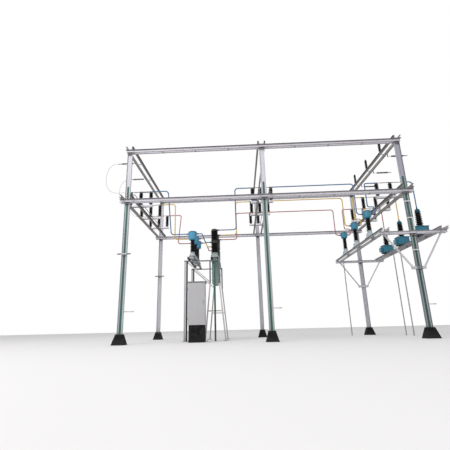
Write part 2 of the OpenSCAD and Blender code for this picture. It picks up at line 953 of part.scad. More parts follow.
module breaker_frame() {
    translate([breaker_x, frame_front - leg_size / 2, 0]) frame_end();
    translate([breaker_x, frame_back + leg_size / 2, 0]) mirror([0, 1, 0]) frame_end();
    color(dark_zinc)
    for (side = [0, 1])
        translate([breaker_x, 0, breaker_deck - carrier_h]) mirror([side, 0, 0])
            translate([-mech_w / 2, 0, 0])
                along_y(frame_front, frame_back) channel_section(carrier_h, leg_size, base_wall, flange_t);
}

// A housing with a raised door on each side, a cover at each end and glands below
module breaker_mechanism() {
    door = mech_d / 2 - 1.5 * panel_edge;
    color([0.62, 0.66, 0.66]) translate([breaker_x, gantry_d / 2, mech_z]) {
        translate([-mech_w / 2, -mech_d / 2, 0]) cube([mech_w, mech_d, mech_h]);
        for (y = [-panel_edge / 2 - door, panel_edge / 2])
            translate([-mech_w / 2 - panel_t, y, panel_edge])
                cube([mech_w + 2 * panel_t, door, mech_h - 3 * panel_edge]);
        translate([panel_edge - mech_w / 2, -mech_d / 2 - panel_t, panel_edge])
            cube([mech_w - 2 * panel_edge, mech_d + 2 * panel_t, mech_h - 3 * panel_edge]);
        for (k = [-1:1])
            translate([0, k * mech_d / 4, -gland_h]) cylinder(h = gland_h, r = gland_r);
    }
}

module breaker_insulators() {
    color(porcelain)
    for (y = poles_y, z = [pole_base_h, pole_base_h + pole_ins_h + pole_mid_h])
        translate([breaker_x, y, breaker_deck + z]) shedded(pole_ins_h, pole_r * 0.72, pole_r, 8);
}

// A turned housing with a bolting flange at each end
module flanged(h) {
    flange = pole_r * 0.95;
    body = pole_r * 0.8;
    rotate_extrude() polygon([
        [0, 0], [flange, 0], [flange, pole_flange_t], [body, pole_flange_t],
        [body, h - pole_flange_t], [flange, h - pole_flange_t], [flange, h], [0, h]
    ]);
}

// The domed cover on a pole
module pole_cap(h) {
    flange = pole_r * 0.95;
    body = pole_r * 0.85;
    rotate_extrude() polygon([
        [0, 0], [flange, 0], [flange, pole_flange_t], [body, pole_flange_t],
        [body, h * 0.7], [body * 0.6, h - 10], [body * 0.25, h], [0, h]
    ]);
}

// A terminal that points along +x: a flat palm with the tube's clamp at its end
module pole_terminal() {
    translate([0, -brk_pad.y / 2, -brk_pad.z / 2]) cube(brk_pad);
    rotate([0, 90, 0]) cylinder(h = brk_reach, r = brk_term_r);
}

module breaker_pole_metal() {
    z_mid = pole_base_h + pole_ins_h;
    color(pale_grey)
    for (y = poles_y)
        translate([breaker_x, y, breaker_deck]) {
            along_y(-housing_d / 2, housing_d / 2) polygon([
                [-housing_w / 2, 0], [housing_w / 2, 0], [housing_w / 2, housing_h * 0.6],
                [housing_top_w / 2, housing_h], [-housing_top_w / 2, housing_h],
                [-housing_w / 2, housing_h * 0.6]
            ]);
            cylinder(h = pole_base_h - pole_flange_t, r = pole_r * 0.8);
            translate([0, 0, pole_base_h - pole_flange_t])
                cylinder(h = pole_flange_t, r = pole_r * 0.95);
            translate([0, 0, z_mid]) flanged(pole_mid_h);
            translate([0, 0, z_mid + pole_mid_h / 2]) mirror([1, 0, 0]) pole_terminal();
            translate([0, 0, z_mid + pole_mid_h + pole_ins_h]) pole_cap(pole_cap_h);
            translate([0, 0, brk_term_z - breaker_deck]) pole_terminal();
        }
}

// The steel at one end of the stand, from its leg to the breaker's frame
module stand_end() {
    right = stand_left + stand_run;
    low = knee_top + rail_h;
    color(zinc) {
        translate([stand_left, -bearer / 2, plate_t]) linear_extrude(stand_top - plate_t)
            channel_section(bearer, stand_leg_w, base_wall, flange_t);
        translate([stand_left - rail_w, -stand_leg_w, 0])
            cube([stand_leg_w + 2 * rail_w, 2 * stand_leg_w, plate_t]);
        translate([0, -bearer / 2, stand_top]) along_x(right, stand_leg_x)
            polygon([[0, 0], [bearer, 0], [bearer, leg_t], [leg_t, leg_t], [leg_t, rail_w], [0, rail_w]]);
        along_y(bearer / 2 - stand_brace_t, bearer / 2) polygon([
            [stand_left + stand_leg_w, stand_top - run_gap], [stand_leg_x, low],
            [stand_leg_x, low - stand_brace_h], [stand_left + stand_leg_w, stand_top - stand_brace_h]
        ]);
    }
    color(dark_zinc) translate([0, -bearer / 2, stand_top])
        along_x(stand_left, right) channel_section(bearer, bearer, base_wall, flange_t);
}

module transformer_stand() {
    translate([0, frame_front, 0]) stand_end();
    translate([0, frame_back, 0]) mirror([0, 1, 0]) stand_end();
    color(dark_zinc)
    for (side = [0, 1])
        translate([ct_x, 0, ct_deck - rail_h]) mirror([side, 0, 0]) translate([-stand_rail, 0, 0])
            along_y(frame_front - rail_over, frame_back + rail_over)
                channel_section(rail_h, rail_w, base_wall, flange_t);
}

// Base plate and conical foot casting, with a flange under the insulator
module ct_foot() {
    h = ct_foot_h - ct_plate_t;
    translate([-ct_plate / 2, -ct_plate / 2, 0]) cube([ct_plate, ct_plate, ct_plate_t]);
    translate([0, 0, ct_plate_t]) rotate_extrude() polygon([
        [0, 0], [ct_plate * 0.46, 0], [ct_plate * 0.46, h * 0.4], [ct_plate * 0.42, h * 0.55],
        [ct_shed_r * 0.85, h * 0.8], [ct_shed_r * 0.85, h - flange_t * 2],
        [ct_shed_r, h - flange_t * 2], [ct_shed_r, h], [0, h]
    ]);
}

// Head tank with its lid's rim, and a boss and a terminal on either side
module ct_head(r, h, tap) {
    rotate_extrude() polygon([
        [0, 0], [r * 0.7, 0], [r * 0.7, 20], [r - 8, 35], [r, 50], [r, h - 70],
        [r + 8, h - 70], [r + 8, h - 50], [r * 0.8, h - 20], [r * 0.4, h], [0, h]
    ]);
    for (side = [-1, 1])
        translate([0, 0, tap]) rotate([0, side * 90, 0]) {
            cylinder(h = r + ct_boss_run, r = ct_boss_r);
            cylinder(h = r + ct_term_run, r = ct_term_r);
        }
}

module each_left_ct() {
    for (y = poles_y) translate([ct_x, y, ct_deck]) children();
}

module each_right_ct() {
    for (y = phases_y) translate([right_ct_x, y, out_deck]) children();
}

module transformer_feet() {
    color(pale_grey) {
        each_left_ct() ct_foot();
        each_right_ct() ct_foot();
    }
}

module ct_insulator() {
    translate([0, 0, ct_foot_h])
        shedded(ct_stem - ct_foot_h, ct_core_r, ct_shed_r, ct_sheds, ct_shed_top_r);
}

module transformer_insulators() {
    color(porcelain) {
        each_left_ct() ct_insulator();
        each_right_ct() ct_insulator();
    }
}

module transformer_heads() {
    color(teal) {
        each_left_ct() translate([0, 0, ct_stem]) ct_head(ct_head_r, ct_head_h, ct_tap);
        each_right_ct() translate([0, 0, ct_stem]) ct_head(ct_small_r, ct_small_h, ct_small_tap);
    }
}

// Kiosk
module kiosk_plinth() {
    color([0.1, 0.1, 0.1]) translate([kiosk_x + plinth_inset, kiosk_y + plinth_inset, 0])
        cube([kiosk_w - 2 * plinth_inset, kiosk_d - 2 * plinth_inset, plinth_h]);
}

module kiosk_cabinet() {
    color(pale_grey) {
        difference() {
            translate([kiosk_x, kiosk_y, plinth_h]) cube([kiosk_w, kiosk_d, kiosk_h]);
            translate([kiosk_x + kiosk_wall, kiosk_y - 1, plinth_h + kiosk_wall])
                cube([kiosk_w - 2 * kiosk_wall, kiosk_d - kiosk_wall + 1, kiosk_h - 2 * kiosk_wall]);
        }
        for (z = hinge_z) {
            translate([kiosk_x - hinge_off, kiosk_y - door_gap, z]) {
                cylinder(h = hinge_h, r = hinge_r);
                cylinder(h = hinge_pin_h, r = hinge_pin_r);
            }
            translate([kiosk_x - hinge_off, kiosk_y, z]) cube([hinge_off, hinge_leaf, hinge_h]);
        }
    }
}

module kiosk_roof() {
    w = kiosk_w + 2 * roof_over;
    d = kiosk_d + 2 * roof_over;
    color(pale_grey) translate([kiosk_x - roof_over, kiosk_y - roof_over, plinth_h + kiosk_h])
        along_x(0, w)
            polygon([[0, 0], [d, 0], [d, roof_edge], [d / 2, roof_edge + roof_ridge], [0, roof_edge]]);
}

module kiosk_door() {
    skin = door_skin;
    front = kiosk_y - door_gap - door_t;
    low = plinth_h + door_edge;
    h = kiosk_h - 2 * door_edge;
    color(pale_grey) {
        difference() {
            translate([kiosk_x, front, low]) cube([kiosk_w, door_t, h]);
            translate([kiosk_x + skin, front + skin, low + skin])
                cube([kiosk_w - 2 * skin, door_t, h - 2 * skin]);
        }
        for (z = hinge_z)
            translate([kiosk_x - hinge_off, kiosk_y - door_gap, z + hinge_h + run_gap]) difference() {
                union() {
                    cylinder(h = hinge_h, r = hinge_r);
                    translate([0, -hinge_r, 0]) cube([hinge_off + 2, hinge_flat, hinge_h]);
                }
                translate([0, 0, -1]) cylinder(h = 2 * hinge_h, r = hinge_pin_r + hinge_play);
            }
        translate([kiosk_x + kiosk_w - grip_inset, front - grip.y, plinth_h + kiosk_h / 2])
            cube([grip.x, grip.y + 1, grip.z]);
    }
}

// Outrigger on the right columns
module outrigger_arms() {
    color(zinc)
    for (y = [0, gantry_d], side = [-1, 1])
        translate([0, y + side * col_w / 2, out_z - out_beam_h / 2])
            mirror([0, side < 0 ? 1 : 0, 0])
                along_x(right_ct_x - arm_over, right_x + out_right + arm_over)
                    channel_section(out_beam_h, out_beam_w, base_wall, flange_t);
}

module outrigger_beams() {
    color(dark_zinc)
    for (x = [right_ct_x, right_x + out_right], side = [-1, 1])
        translate([x + side * out_half, 0, out_z + out_beam_h / 2])
            mirror([side < 0 ? 1 : 0, 0, 0])
                along_y(-cross_over, gantry_d + cross_over)
                    channel_section(out_beam_h, out_beam_w, base_wall, flange_t);
}

// A knee brace of two flats between the arms' backs, with spacers between them
module knee_brace(reach) {
    foot = col_d / 2 + ear_inset;
    low = knee_z - brace_back;
    inner = col_w / 2 - brace_t;
    for (side = [0, 1]) mirror([0, side, 0])
        along_y(inner, col_w / 2) polygon([
            [foot, low], [foot + brace_w, low], [reach + brace_w, out_z - out_beam_h / 2],
            [reach + brace_w, out_z + out_beam_h / 2], [reach, out_z + out_beam_h / 2],
            [reach, out_z - out_beam_h / 2]
        ]);
    for (t = [0.03, 0.35, 0.65])
        translate([
            foot + t * (reach - foot) + brace_w / 2, -inner,
            low + t * (out_z - out_beam_h / 2 - low)
        ]) rotate([-90, 0, 0]) cylinder(h = 2 * inner, r = spacer_r);
}

// The braces stand on ears, a flat across each side of a column
module outrigger_braces() {
    ear = col_d / 2 + ear_run;
    color(zinc)
    for (y = [0, gantry_d]) translate([right_x, y, 0]) {
        mirror([1, 0, 0]) knee_brace(out_left - brace_back);
        knee_brace(out_right - brace_back);
        for (side = [-1, 1])
            translate([-ear, side * (col_w + ear_t) / 2 - ear_t / 2, knee_z - 1.5 * brace_back])
                cube([2 * ear, ear_t, ear_h]);
    }
}

// Voltage transformers
module each_vt() {
    for (y = phases_y) translate([vt_x, y, out_deck]) children();
}

// Tank on two bearers, with its lid and the terminal box on its left side
module voltage_transformer_tanks() {
    color(teal) each_vt() {
        for (side = [0, 1]) mirror([0, side, 0])
            translate([-vt_w / 2, vt_d / 2 - 2 * vt_bearer, 0]) cube([vt_w, vt_bearer, vt_bearer]);
        translate([0, 0, vt_bearer]) linear_extrude(vt_h - vt_bearer - vt_lid_t)
            polygon(rounded(vt_w, vt_d, vt_round));
        translate([0, 0, vt_h - vt_lid_t]) linear_extrude(vt_lid_t)
            polygon(rounded(vt_w + 2 * vt_lid_over, vt_d + 2 * vt_lid_over, vt_round));
        translate([-vt_w / 2 - vt_box.x, -vt_box.y / 2, 2 * vt_bearer])
            cube([vt_box.x + vt_round / 2, vt_box.y, vt_box.z]);
    }
}

module voltage_transformer_bushings() {
    color(porcelain) each_vt() translate([0, 0, vt_h]) {
        shedded(vt_bush_h, vt_bush_core, vt_bush_r, 9, vt_bush_top_r);
        translate([0, 0, vt_bush_h]) rotate_extrude() polygon([
            [0, 0], [vt_bush_core + base_wall, 0], [vt_bush_core + base_wall, vt_cap_h],
            [vt_bush_core * 0.7, 2 * vt_cap_h], [vt_term_r, vt_neck_h], [vt_term_r, vt_term_h],
            [0, vt_term_h]
        ]);
    }
}

// Tube conductors of one phase, from the left isolator to the right one
module phase_tubes(k) {
    py = phases_y[k];
    qy = poles_y[k];
    z = tap_z;
    left_end = shift_left + post_gap_left + lead;
    drop = left_end + drop_run;
    ct_z = ct_deck + ct_stem + ct_tap;
    ct_in = ct_x - ct_head_r - ct_term_run;
    ct_out = ct_x + ct_head_r + ct_term_run;
    brk_in = breaker_x - brk_reach;
    brk_low = breaker_deck + pole_base_h + pole_ins_h + pole_mid_h / 2;
    riser = breaker_x + riser_run;
    mid_in = bay_left - post_gap_mid - lead;
    mid_out = bay_left + post_gap_mid + lead;
    rct_z = out_deck + ct_stem + ct_small_tap;
    rct_in = right_ct_x - ct_small_r - ct_term_run;
    rct_out = right_ct_x + ct_small_r + ct_term_run;
    right_in = right_x + shift_right - post_gap_right - lead;
    right_out = right_x + shift_right + post_gap_right + lead;
    bent_tube([[left_end, py, z], [drop, py, z], [drop, qy, ct_z], [ct_in, qy, ct_z]], tube_r, tube_bend);
    bent_tube([
        [ct_out, qy, ct_z], [ct_out + 0.3 * (brk_in - ct_out), qy, ct_z],
        [ct_out + 0.62 * (brk_in - ct_out), qy, brk_low], [brk_in, qy, brk_low]
    ], tube_r, low_bend);
    bent_tube([
        [breaker_x + brk_reach, qy, brk_term_z], [riser, qy, brk_term_z], [riser, py, z], [mid_in, py, z]
    ], tube_r, tube_bend);
    bent_tube([
        [mid_out, py, z], [rct_in - right_drop, py, z],
        [rct_in - right_drop, py, rct_z], [rct_in, py, rct_z]
    ], tube_r, tube_bend);
    bent_tube([
        [rct_out, py, rct_z], [rct_out + right_lead, py, rct_z],
        [rct_out + right_lead, py, rct_z + jog_rise], [right_in - jog_back, py, rct_z + jog_rise],
        [right_in - jog_back, py, z], [right_in, py, z]
    ], tube_r, jog_bend);
    bent_tube([[right_out, py, z], [vt_x, py, z], [vt_x, py, vt_top]], tube_r, tube_bend);
}

module blue_tubes() { color(tube_blue) phase_tubes(0); }
module yellow_tubes() { color(tube_yellow) phase_tubes(1); }
module red_tubes() { color(tube_red) phase_tubes(2); }

// Line end
module top_post_insulators() {
    z = top_z + 1.5 * beam_h;
    color(porcelain)
    for (y = phases_y)
        translate([right_x - col_d / 2 - beam_w / 2, y, z]) {
            cylinder(h = top_base_h, r = top_post_core);
            translate([0, 0, top_base_h])
                shedded(top_post_h, top_post_core, top_post_r, top_post_sheds);
            translate([0, 0, top_base_h + top_post_h]) cylinder(h = top_cap_h, r = top_cap_r);
        }
}

// An eye plate from its top down to the string, then the eye rod, sheds, socket and clamp
module strain_string(top, drop) {
    translate([0, -eye_plate / 2, -eye_plate / 2 - drop])
        cube([eye_plate_t, eye_plate, eye_plate / 2 + drop + top]);
    translate([0, 0, -drop]) rotate([0, 90, 0]) {
        cylinder(h = eye_run + 1, r = string_socket_r / 2);
        translate([0, 0, eye_run]) shedded(string_sheds_run, string_socket_r, string_shed_r, 11);
        translate([0, 0, eye_run + string_sheds_run])
            cylinder(h = string_socket_h, r = string_socket_r + 4);
        translate([0, 0, eye_run + string_sheds_run + string_socket_h])
            cylinder(h = string_run - eye_run - string_sheds_run - string_socket_h, r = string_clamp_r);
    }
}

module strain_insulators() {
    color(porcelain)
    for (y = phases_y) {
        translate([-string_x, y, string_z]) mirror([1, 0, 0]) strain_string(eye_plate / 2, 0);
        translate([right_x + right_string_x, y, string_z])
            strain_string(beam_h / 2, right_string_drop);
    }
}

// Slack jumpers from the left strings to the left isolators
module jumper(k) {
    color([0.6, 0.6, 0.62]) translate([0, phases_y[k], 0])
        swept(smooth(jumper_route, jumper_steps), jumper_r, jumper_sides);
}

module blue_jumper() { jumper(0); }
module yellow_jumper() { jumper(1); }
module red_jumper() { jumper(2); }

module cable_conduits() {
    color(zinc)
    for (p = conduits)
        translate([p.x, p.y, 0]) cylinder(h = out_z + out_beam_h / 2, r = conduit_r);
}

footings();
front_columns();
rear_columns();
top_front_beam();
top_rear_beam();
lower_front_beam();
lower_rear_beam();
top_cross_beams();
lower_cross_beams();
beam_cleats();
earth_strips();
column_straps();
isolator_bases();
isolator_end_insulators();
isolator_end_contacts();
left_blue_rotor();
left_yellow_rotor();
left_red_rotor();
left_tie_tube();
left_operating_shaft();
middle_blue_rotor();
middle_yellow_rotor();
middle_red_rotor();
middle_tie_tube();
middle_operating_shaft();
right_blue_rotor();
right_yellow_rotor();
right_red_rotor();
right_tie_tube();
right_operating_shaft();
shaft_guides();
breaker_frame();
breaker_mechanism();
breaker_insulators();
breaker_pole_metal();
transformer_stand();
transformer_feet();
transformer_insulators();
transformer_heads();
kiosk_plinth();
kiosk_cabinet();
kiosk_roof();
kiosk_door();
outrigger_arms();
outrigger_beams();
outrigger_braces();
voltage_transformer_tanks();
voltage_transformer_bushings();
blue_tubes();
yellow_tubes();
red_tubes();
top_post_insulators();
strain_insulators();
cable_conduits();
seat_cleats();
blue_jumper();
yellow_jumper();
red_jumper();
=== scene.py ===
import math

import bmesh
import bpy
import numpy as np
from mathutils import Matrix


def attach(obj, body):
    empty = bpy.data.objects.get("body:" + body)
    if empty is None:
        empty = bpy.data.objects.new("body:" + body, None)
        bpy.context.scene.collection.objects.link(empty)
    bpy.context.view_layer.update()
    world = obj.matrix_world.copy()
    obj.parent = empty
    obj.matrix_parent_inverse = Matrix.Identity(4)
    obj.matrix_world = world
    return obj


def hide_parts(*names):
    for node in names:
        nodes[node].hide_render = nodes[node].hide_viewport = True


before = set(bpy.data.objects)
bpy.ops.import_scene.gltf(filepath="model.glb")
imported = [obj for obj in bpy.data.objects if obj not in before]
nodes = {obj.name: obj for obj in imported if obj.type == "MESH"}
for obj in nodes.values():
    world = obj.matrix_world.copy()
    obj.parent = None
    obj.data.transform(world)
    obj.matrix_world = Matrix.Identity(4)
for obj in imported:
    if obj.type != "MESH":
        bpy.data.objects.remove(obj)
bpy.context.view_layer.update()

# The eye
# Where the photograph was taken from: low in front of the bay, looking up at the
# beams with a slightly wide lens, and a touch of roll.
EYE = (4.43, -13.06, 0.503)
PITCH, ROLL, YAW = math.radians(16.43), math.radians(-1.36), math.radians(-2.27)
PICTURE_SIDE = 450
LENS_PIXELS = 349.4
SENSOR_MM = 36.0
SIGHT_RANGE = 400


def aimed(eye, pitch, roll, yaw):
    """A camera matrix: forward is +Y turned by yaw and raised by pitch, then rolled."""
    level = np.array([math.sin(yaw), math.cos(yaw), 0.0])
    right = np.array([math.cos(yaw), -math.sin(yaw), 0.0])
    up = np.array([0.0, 0.0, 1.0])
    ahead = math.cos(pitch) * level + math.sin(pitch) * up
    over = -math.sin(pitch) * level + math.cos(pitch) * up
    x = math.cos(roll) * right + math.sin(roll) * over
    y = -math.sin(roll) * right + math.cos(roll) * over
    m = np.eye(4)
    m[:3, 0], m[:3, 1], m[:3, 2], m[:3, 3] = x, y, -ahead, eye
    return Matrix(m.tolist())


camera = bpy.data.objects.new("eye", bpy.data.cameras.new("eye"))
camera.data.sensor_fit = "HORIZONTAL"
camera.data.sensor_width = SENSOR_MM
camera.data.lens = SENSOR_MM * LENS_PIXELS / PICTURE_SIDE
camera.data.clip_end = SIGHT_RANGE
camera.matrix_world = aimed(EYE, PITCH, ROLL, YAW)
bpy.context.scene.collection.objects.link(camera)
bpy.context.scene.camera = camera
bpy.context.scene.view_settings.view_transform = "Standard"

# Jumpers
# Slack stranded aluminium conductors from the left strain strings to the left
# isolators. Each leaves its string's clamp, swings out to the left and hangs back in.
JUMPER_ROUTE = (
    (-0.966, 7.825), (-1.130, 7.820), (-1.320, 7.690), (-1.440, 7.440), (-1.480, 7.120),
    (-1.440, 6.800), (-1.300, 6.550), (-1.060, 6.420), (-0.740, 6.402), (-0.375, 6.402),
)
JUMPER_RADIUS, STRAND_RELIEF, STEPS_A_SPAN = 0.0072, 0.0006, 24
STRANDS, STRAND_SIDES, LAY_LENGTH = 12, 4, 0.22
PHASE_YS = {"blue": 1.30, "yellow": 3.05, "red": 4.80}
MERGE_WITHIN = 1e-6
SHARP_FROM = math.radians(35)


def new_material(name):
    """An empty node material with its Principled shader; returns tree, shader and material."""
    made = bpy.data.materials.new(name)
    made.use_nodes = True
    tree = made.node_tree
    tree.nodes.clear()
    shader = tree.nodes.new("ShaderNodeBsdfPrincipled")
    out = tree.nodes.new("ShaderNodeOutputMaterial")
    tree.links.new(shader.outputs[0], out.inputs[0])
    return tree, shader, made


def node_group(name, numbers, results):
    """A shader node group with number inputs, and its Object coordinates."""
    made = bpy.data.node_groups.new(name, "ShaderNodeTree")
    for label, value in numbers.items():
        socket = made.interface.new_socket(label, in_out="INPUT", socket_type="NodeSocketFloat")
        socket.default_value = value
    for label in results:
        made.interface.new_socket(label, in_out="OUTPUT", socket_type="NodeSocketFloat")
    entry = made.nodes.new("NodeGroupInput")
    leave = made.nodes.new("NodeGroupOutput")
    place = made.nodes.new("ShaderNodeTexCoord").outputs["Object"]
    return made, entry, leave, place


def add(tree, kind, **settings):
    """A new node of this kind with its settings; numbers of inputs are given as in_N."""
    node = tree.nodes.new("ShaderNode" + kind)
    for key, value in settings.items():
        if not key.startswith("in_"):
            setattr(node, key, value)
        elif hasattr(value, "is_output"):
            tree.links.new(value, node.inputs[int(key[3:])])
        else:
            node.inputs[int(key[3:])].default_value = value
    return node


def ramp(tree, value, low, high):
    """The value carried from low..high to 0..1, held inside."""
    return add(tree, "MapRange", in_0=value, in_1=low, in_2=high).outputs[0]


def times(tree, a, b):
    """Two masks multiplied."""
    return add(tree, "Math", operation="MULTIPLY", in_0=a, in_1=b).outputs[0]


def mixed(tree, share, a, b):
    """Colour a towards colour b by share."""
    node = tree.nodes.new("ShaderNodeMix")
    node.data_type = "RGBA"
    for slot, value in ((0, share), (6, a), (7, b)):
        if hasattr(value, "is_output"):
            tree.links.new(value, node.inputs[slot])
        else:
            node.inputs[slot].default_value = (*value, 1) if slot > 0 else value
    return node.outputs[2]


def weather_group():
    """Weather, as four masks from 0 to 1: Mottle is wide fractal patches, Streaks is noise
    drawn out fourteen times along Z, Grain is a fine speckle, and Splash fades from the
    ground up to Splash Height, its edge broken by the patches."""
    made, entry, leave, place = node_group(
        "weather",
        {"Patch Scale": 1.4, "Streak Scale": 9.0, "Grain Scale": 220.0, "Splash Height": 0.9},
        ("Mottle", "Streaks", "Grain", "Splash"),
    )
    drawn = add(made, "Mapping", in_0=place)
    drawn.inputs["Scale"].default_value = (1.0, 1.0, 0.07)
    raw = {}
    for label, source, socket, low, high in (
        ("Mottle", place, "Patch Scale", 0.38, 0.68),
        ("Streaks", drawn.outputs[0], "Streak Scale", 0.48, 0.72),
        ("Grain", place, "Grain Scale", 0.30, 0.70),
    ):
        cloud = add(made, "TexNoise", in_0=source)
        cloud.inputs["Detail"].default_value = 5.0
        made.links.new(entry.outputs[socket], cloud.inputs["Scale"])
        raw[label] = ramp(made, cloud.outputs["Fac"], low, high)
        made.links.new(raw[label], leave.inputs[label])
    height = add(made, "SeparateXYZ", in_0=place).outputs[2]
    broken = add(made, "Math", operation="MULTIPLY_ADD", in_0=raw["Mottle"], in_1=0.35, in_2=height)
    fade = add(made, "MapRange", in_0=broken.outputs[0], in_2=0.1, in_3=0.0, in_4=1.0)
    made.links.new(entry.outputs["Splash Height"], fade.inputs[1])
    made.links.new(fade.outputs[0], leave.inputs["Splash"])
    return made


def spangle_group():
    """Spangle: the flat crystals of zinc, a Voronoi cell's random shade from 0 to 1."""
    made, entry, leave, place = node_group("spangle", {"Crystal Scale": 60.0}, ("Shade",))
    cells = add(made, "TexVoronoi", in_0=place)
    made.links.new(entry.outputs[0], cells.inputs["Scale"])
    grey = add(made, "RGBToBW", in_0=cells.outputs["Color"])
    made.links.new(grey.outputs[0], leave.inputs[0])
    return made


WEATHER, SPANGLE = weather_group(), spangle_group()


def use_group(tree, group, **values):
    """Places a node group with its own values, written with _ for spaces."""
    node = tree.nodes.new("ShaderNodeGroup")
    node.node_tree = group
    for key, value in values.items():
        node.inputs[key.replace("_", " ")].default_value = value
    return node.outputs


def finish_shader(tree, shader, colour, rough, bump=None, height=0.001):
    """Joins colour and roughness to the shader, with an optional bump of height metres."""
    tree.links.new(colour, shader.inputs["Base Color"])
    if hasattr(rough, "is_output"):
        tree.links.new(rough, shader.inputs["Roughness"])
    else:
        shader.inputs["Roughness"].default_value = rough
    if bump is not None:
        node = add(tree, "Bump")
        node.inputs["Distance"].default_value = height
        tree.links.new(bump, node.inputs["Height"])
        tree.links.new(node.outputs[0], shader.inputs["Normal"])


def retint(made, colour, *limits, share=0.85):
    """Lays another colour over a material where every limit holds. A limit is a measure, an
    operation and a value; the measures are object x, y and z and the normal's z."""
    tree = made.node_tree
    shader = next(n for n in tree.nodes if n.type == "BSDF_PRINCIPLED")
    under = shader.inputs["Base Color"].links[0].from_socket
    place = add(tree, "SeparateXYZ", in_0=add(tree, "TexCoord").outputs["Object"]).outputs
    facing = add(tree, "SeparateXYZ", in_0=add(tree, "NewGeometry").outputs["Normal"]).outputs[2]
    measures = {"x": place[0], "y": place[1], "z": place[2], "up": facing}
    mask = share
    for measure, operation, value in limits:
        held = add(tree, "Math", operation=operation, in_0=measures[measure], in_1=value)
        mask = times(tree, mask, held.outputs[0])
    tree.links.new(mixed(tree, mask, under, colour), shader.inputs["Base Color"])
    return made


def zinc(name, pale, dull, stain, patch=1.4, crystals=60.0, shine=0.25, wet=0.35, splash=0.0):
    """Galvanised steel: crystals tint the pale zinc, patches dull it, streaks stain it, and
    the ground's splash soils its foot."""
    tree, shader, made = new_material(name)
    weather = use_group(tree, WEATHER, Patch_Scale=patch)
    shade = use_group(tree, SPANGLE, Crystal_Scale=crystals)["Shade"]
    tint = mixed(tree, times(tree, shade, 0.22), pale, dull)
    worn = mixed(tree, times(tree, weather["Mottle"], 0.4), tint, dull)
    streaked = mixed(tree, times(tree, weather["Streaks"], wet), worn, stain)
    soiled = mixed(tree, times(tree, weather["Splash"], splash), streaked, stain)
    rough = add(tree, "MapRange", in_0=shade, in_3=0.42, in_4=0.62).outputs[0]
    finish_shader(tree, shader, soiled, rough, weather["Grain"], 0.0003)
    shader.inputs["Metallic"].default_value = shine
    return made


def through(points, steps):
    """A smooth line through chosen points: on each interval the Catmull-Rom cubic
    (2b + (c - a)t + (2a - 5b + 4c - d)t^2 + (3b - a - 3c + d)t^3) / 2, its ends held."""
    p = np.asarray(points, float)
    k = np.arange(len(p) - 1)
    a, b, c, d = (p[np.clip(k + i, 0, len(p) - 1)][:, None] for i in (-1, 0, 1, 2))
    t = (np.arange(steps) / steps)[None, :, None]
    line = 2 * b + (c - a) * t + (2 * a - 5 * b + 4 * c - d) * t**2 + (3 * b - a - 3 * c + d) * t**3
    return np.vstack([line.reshape(-1, p.shape[1]) / 2, p[-1:]])


def capped(rows):
    """Rings with a pole added at each end, at the middle of the first and the last ring."""
    first = np.broadcast_to(rows[..., :1, :, :].mean(-2, keepdims=True), rows[..., :1, :, :].shape)
    last = np.broadcast_to(rows[..., -1:, :, :].mean(-2, keepdims=True), rows[..., -1:, :, :].shape)
    return np.concatenate([first, rows, last], -3)


def carried(path, section, flank):
    """A profile carried along a path: its point (s, t) lands at path + s side + t over, where
    side = flank x along and over = along x side, both made unit vectors."""
    path = np.asarray(path, float)
    along = np.gradient(path, axis=0)
    along /= np.linalg.norm(along, axis=1, keepdims=True)
    side = np.cross(np.broadcast_to(flank, along.shape), along)
    side /= np.linalg.norm(side, axis=1, keepdims=True)
    over = np.cross(along, side)
    s, t = section[..., 0, None], section[..., 1, None]
    return capped(path[:, None] + s * side[:, None] + t * over[:, None])


def shell(name, grids, material, body):
    """One mesh of grids shaped (..., rows, corners, 3): each row closes on itself, corner s
    of row k joins corner s + 1 and row k + 1, and the doubled points of poles are merged."""
    points, quads, start = [], [], 0
    for grid in grids:
        rows, corners = grid.shape[-3:-1]
        copies = grid.size // (rows * corners * 3)
        k, s = np.arange(rows - 1)[:, None] * corners, np.arange(corners)[None, :]
        after = (s + 1) % corners
        quad = np.stack([k + s, k + after, k + corners + after, k + corners + s], -1).reshape(-1, 4)
        first = start + np.arange(copies) * rows * corners
        quads.append((quad[None] + first[:, None, None]).reshape(-1, 4))
        points.append(grid.reshape(-1, 3))
        start += grid.size // 3
    points, quads = np.concatenate(points), np.concatenate(quads)
    mesh = bpy.data.meshes.new(name)
    mesh.vertices.add(len(points))
    mesh.vertices.foreach_set("co", points.ravel())
    mesh.loops.add(quads.size)
    mesh.loops.foreach_set("vertex_index", quads.ravel())
    mesh.polygons.add(len(quads))
    mesh.polygons.foreach_set("loop_start", np.arange(len(quads)) * 4)
    mesh.update(calc_edges=True)
    work = bmesh.new()
    work.from_mesh(mesh)
    bmesh.ops.remove_doubles(work, verts=work.verts, dist=MERGE_WITHIN)
    work.to_mesh(mesh)
    work.free()
    mesh.polygons.foreach_set("use_smooth", np.ones(len(mesh.polygons), bool))
    mesh.set_sharp_from_angle(angle=SHARP_FROM)
    mesh.materials.append(material)
    made = bpy.data.objects.new(name, mesh)
    bpy.context.scene.collection.objects.link(made)
    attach(made, body)
    return made


ALUMINIUM = zinc(
    "strand_aluminium", (0.30, 0.30, 0.31), (0.20, 0.20, 0.21), (0.10, 0.10, 0.10),
    patch=9.0, crystals=300.0, shine=0.5,
)
line = through(JUMPER_ROUTE, STEPS_A_SPAN)
run = np.concatenate([[0.0], np.cumsum(np.linalg.norm(np.diff(line, axis=0), axis=1))])
around = np.linspace(0, 2 * np.pi, STRANDS * STRAND_SIDES + 1)[:-1]
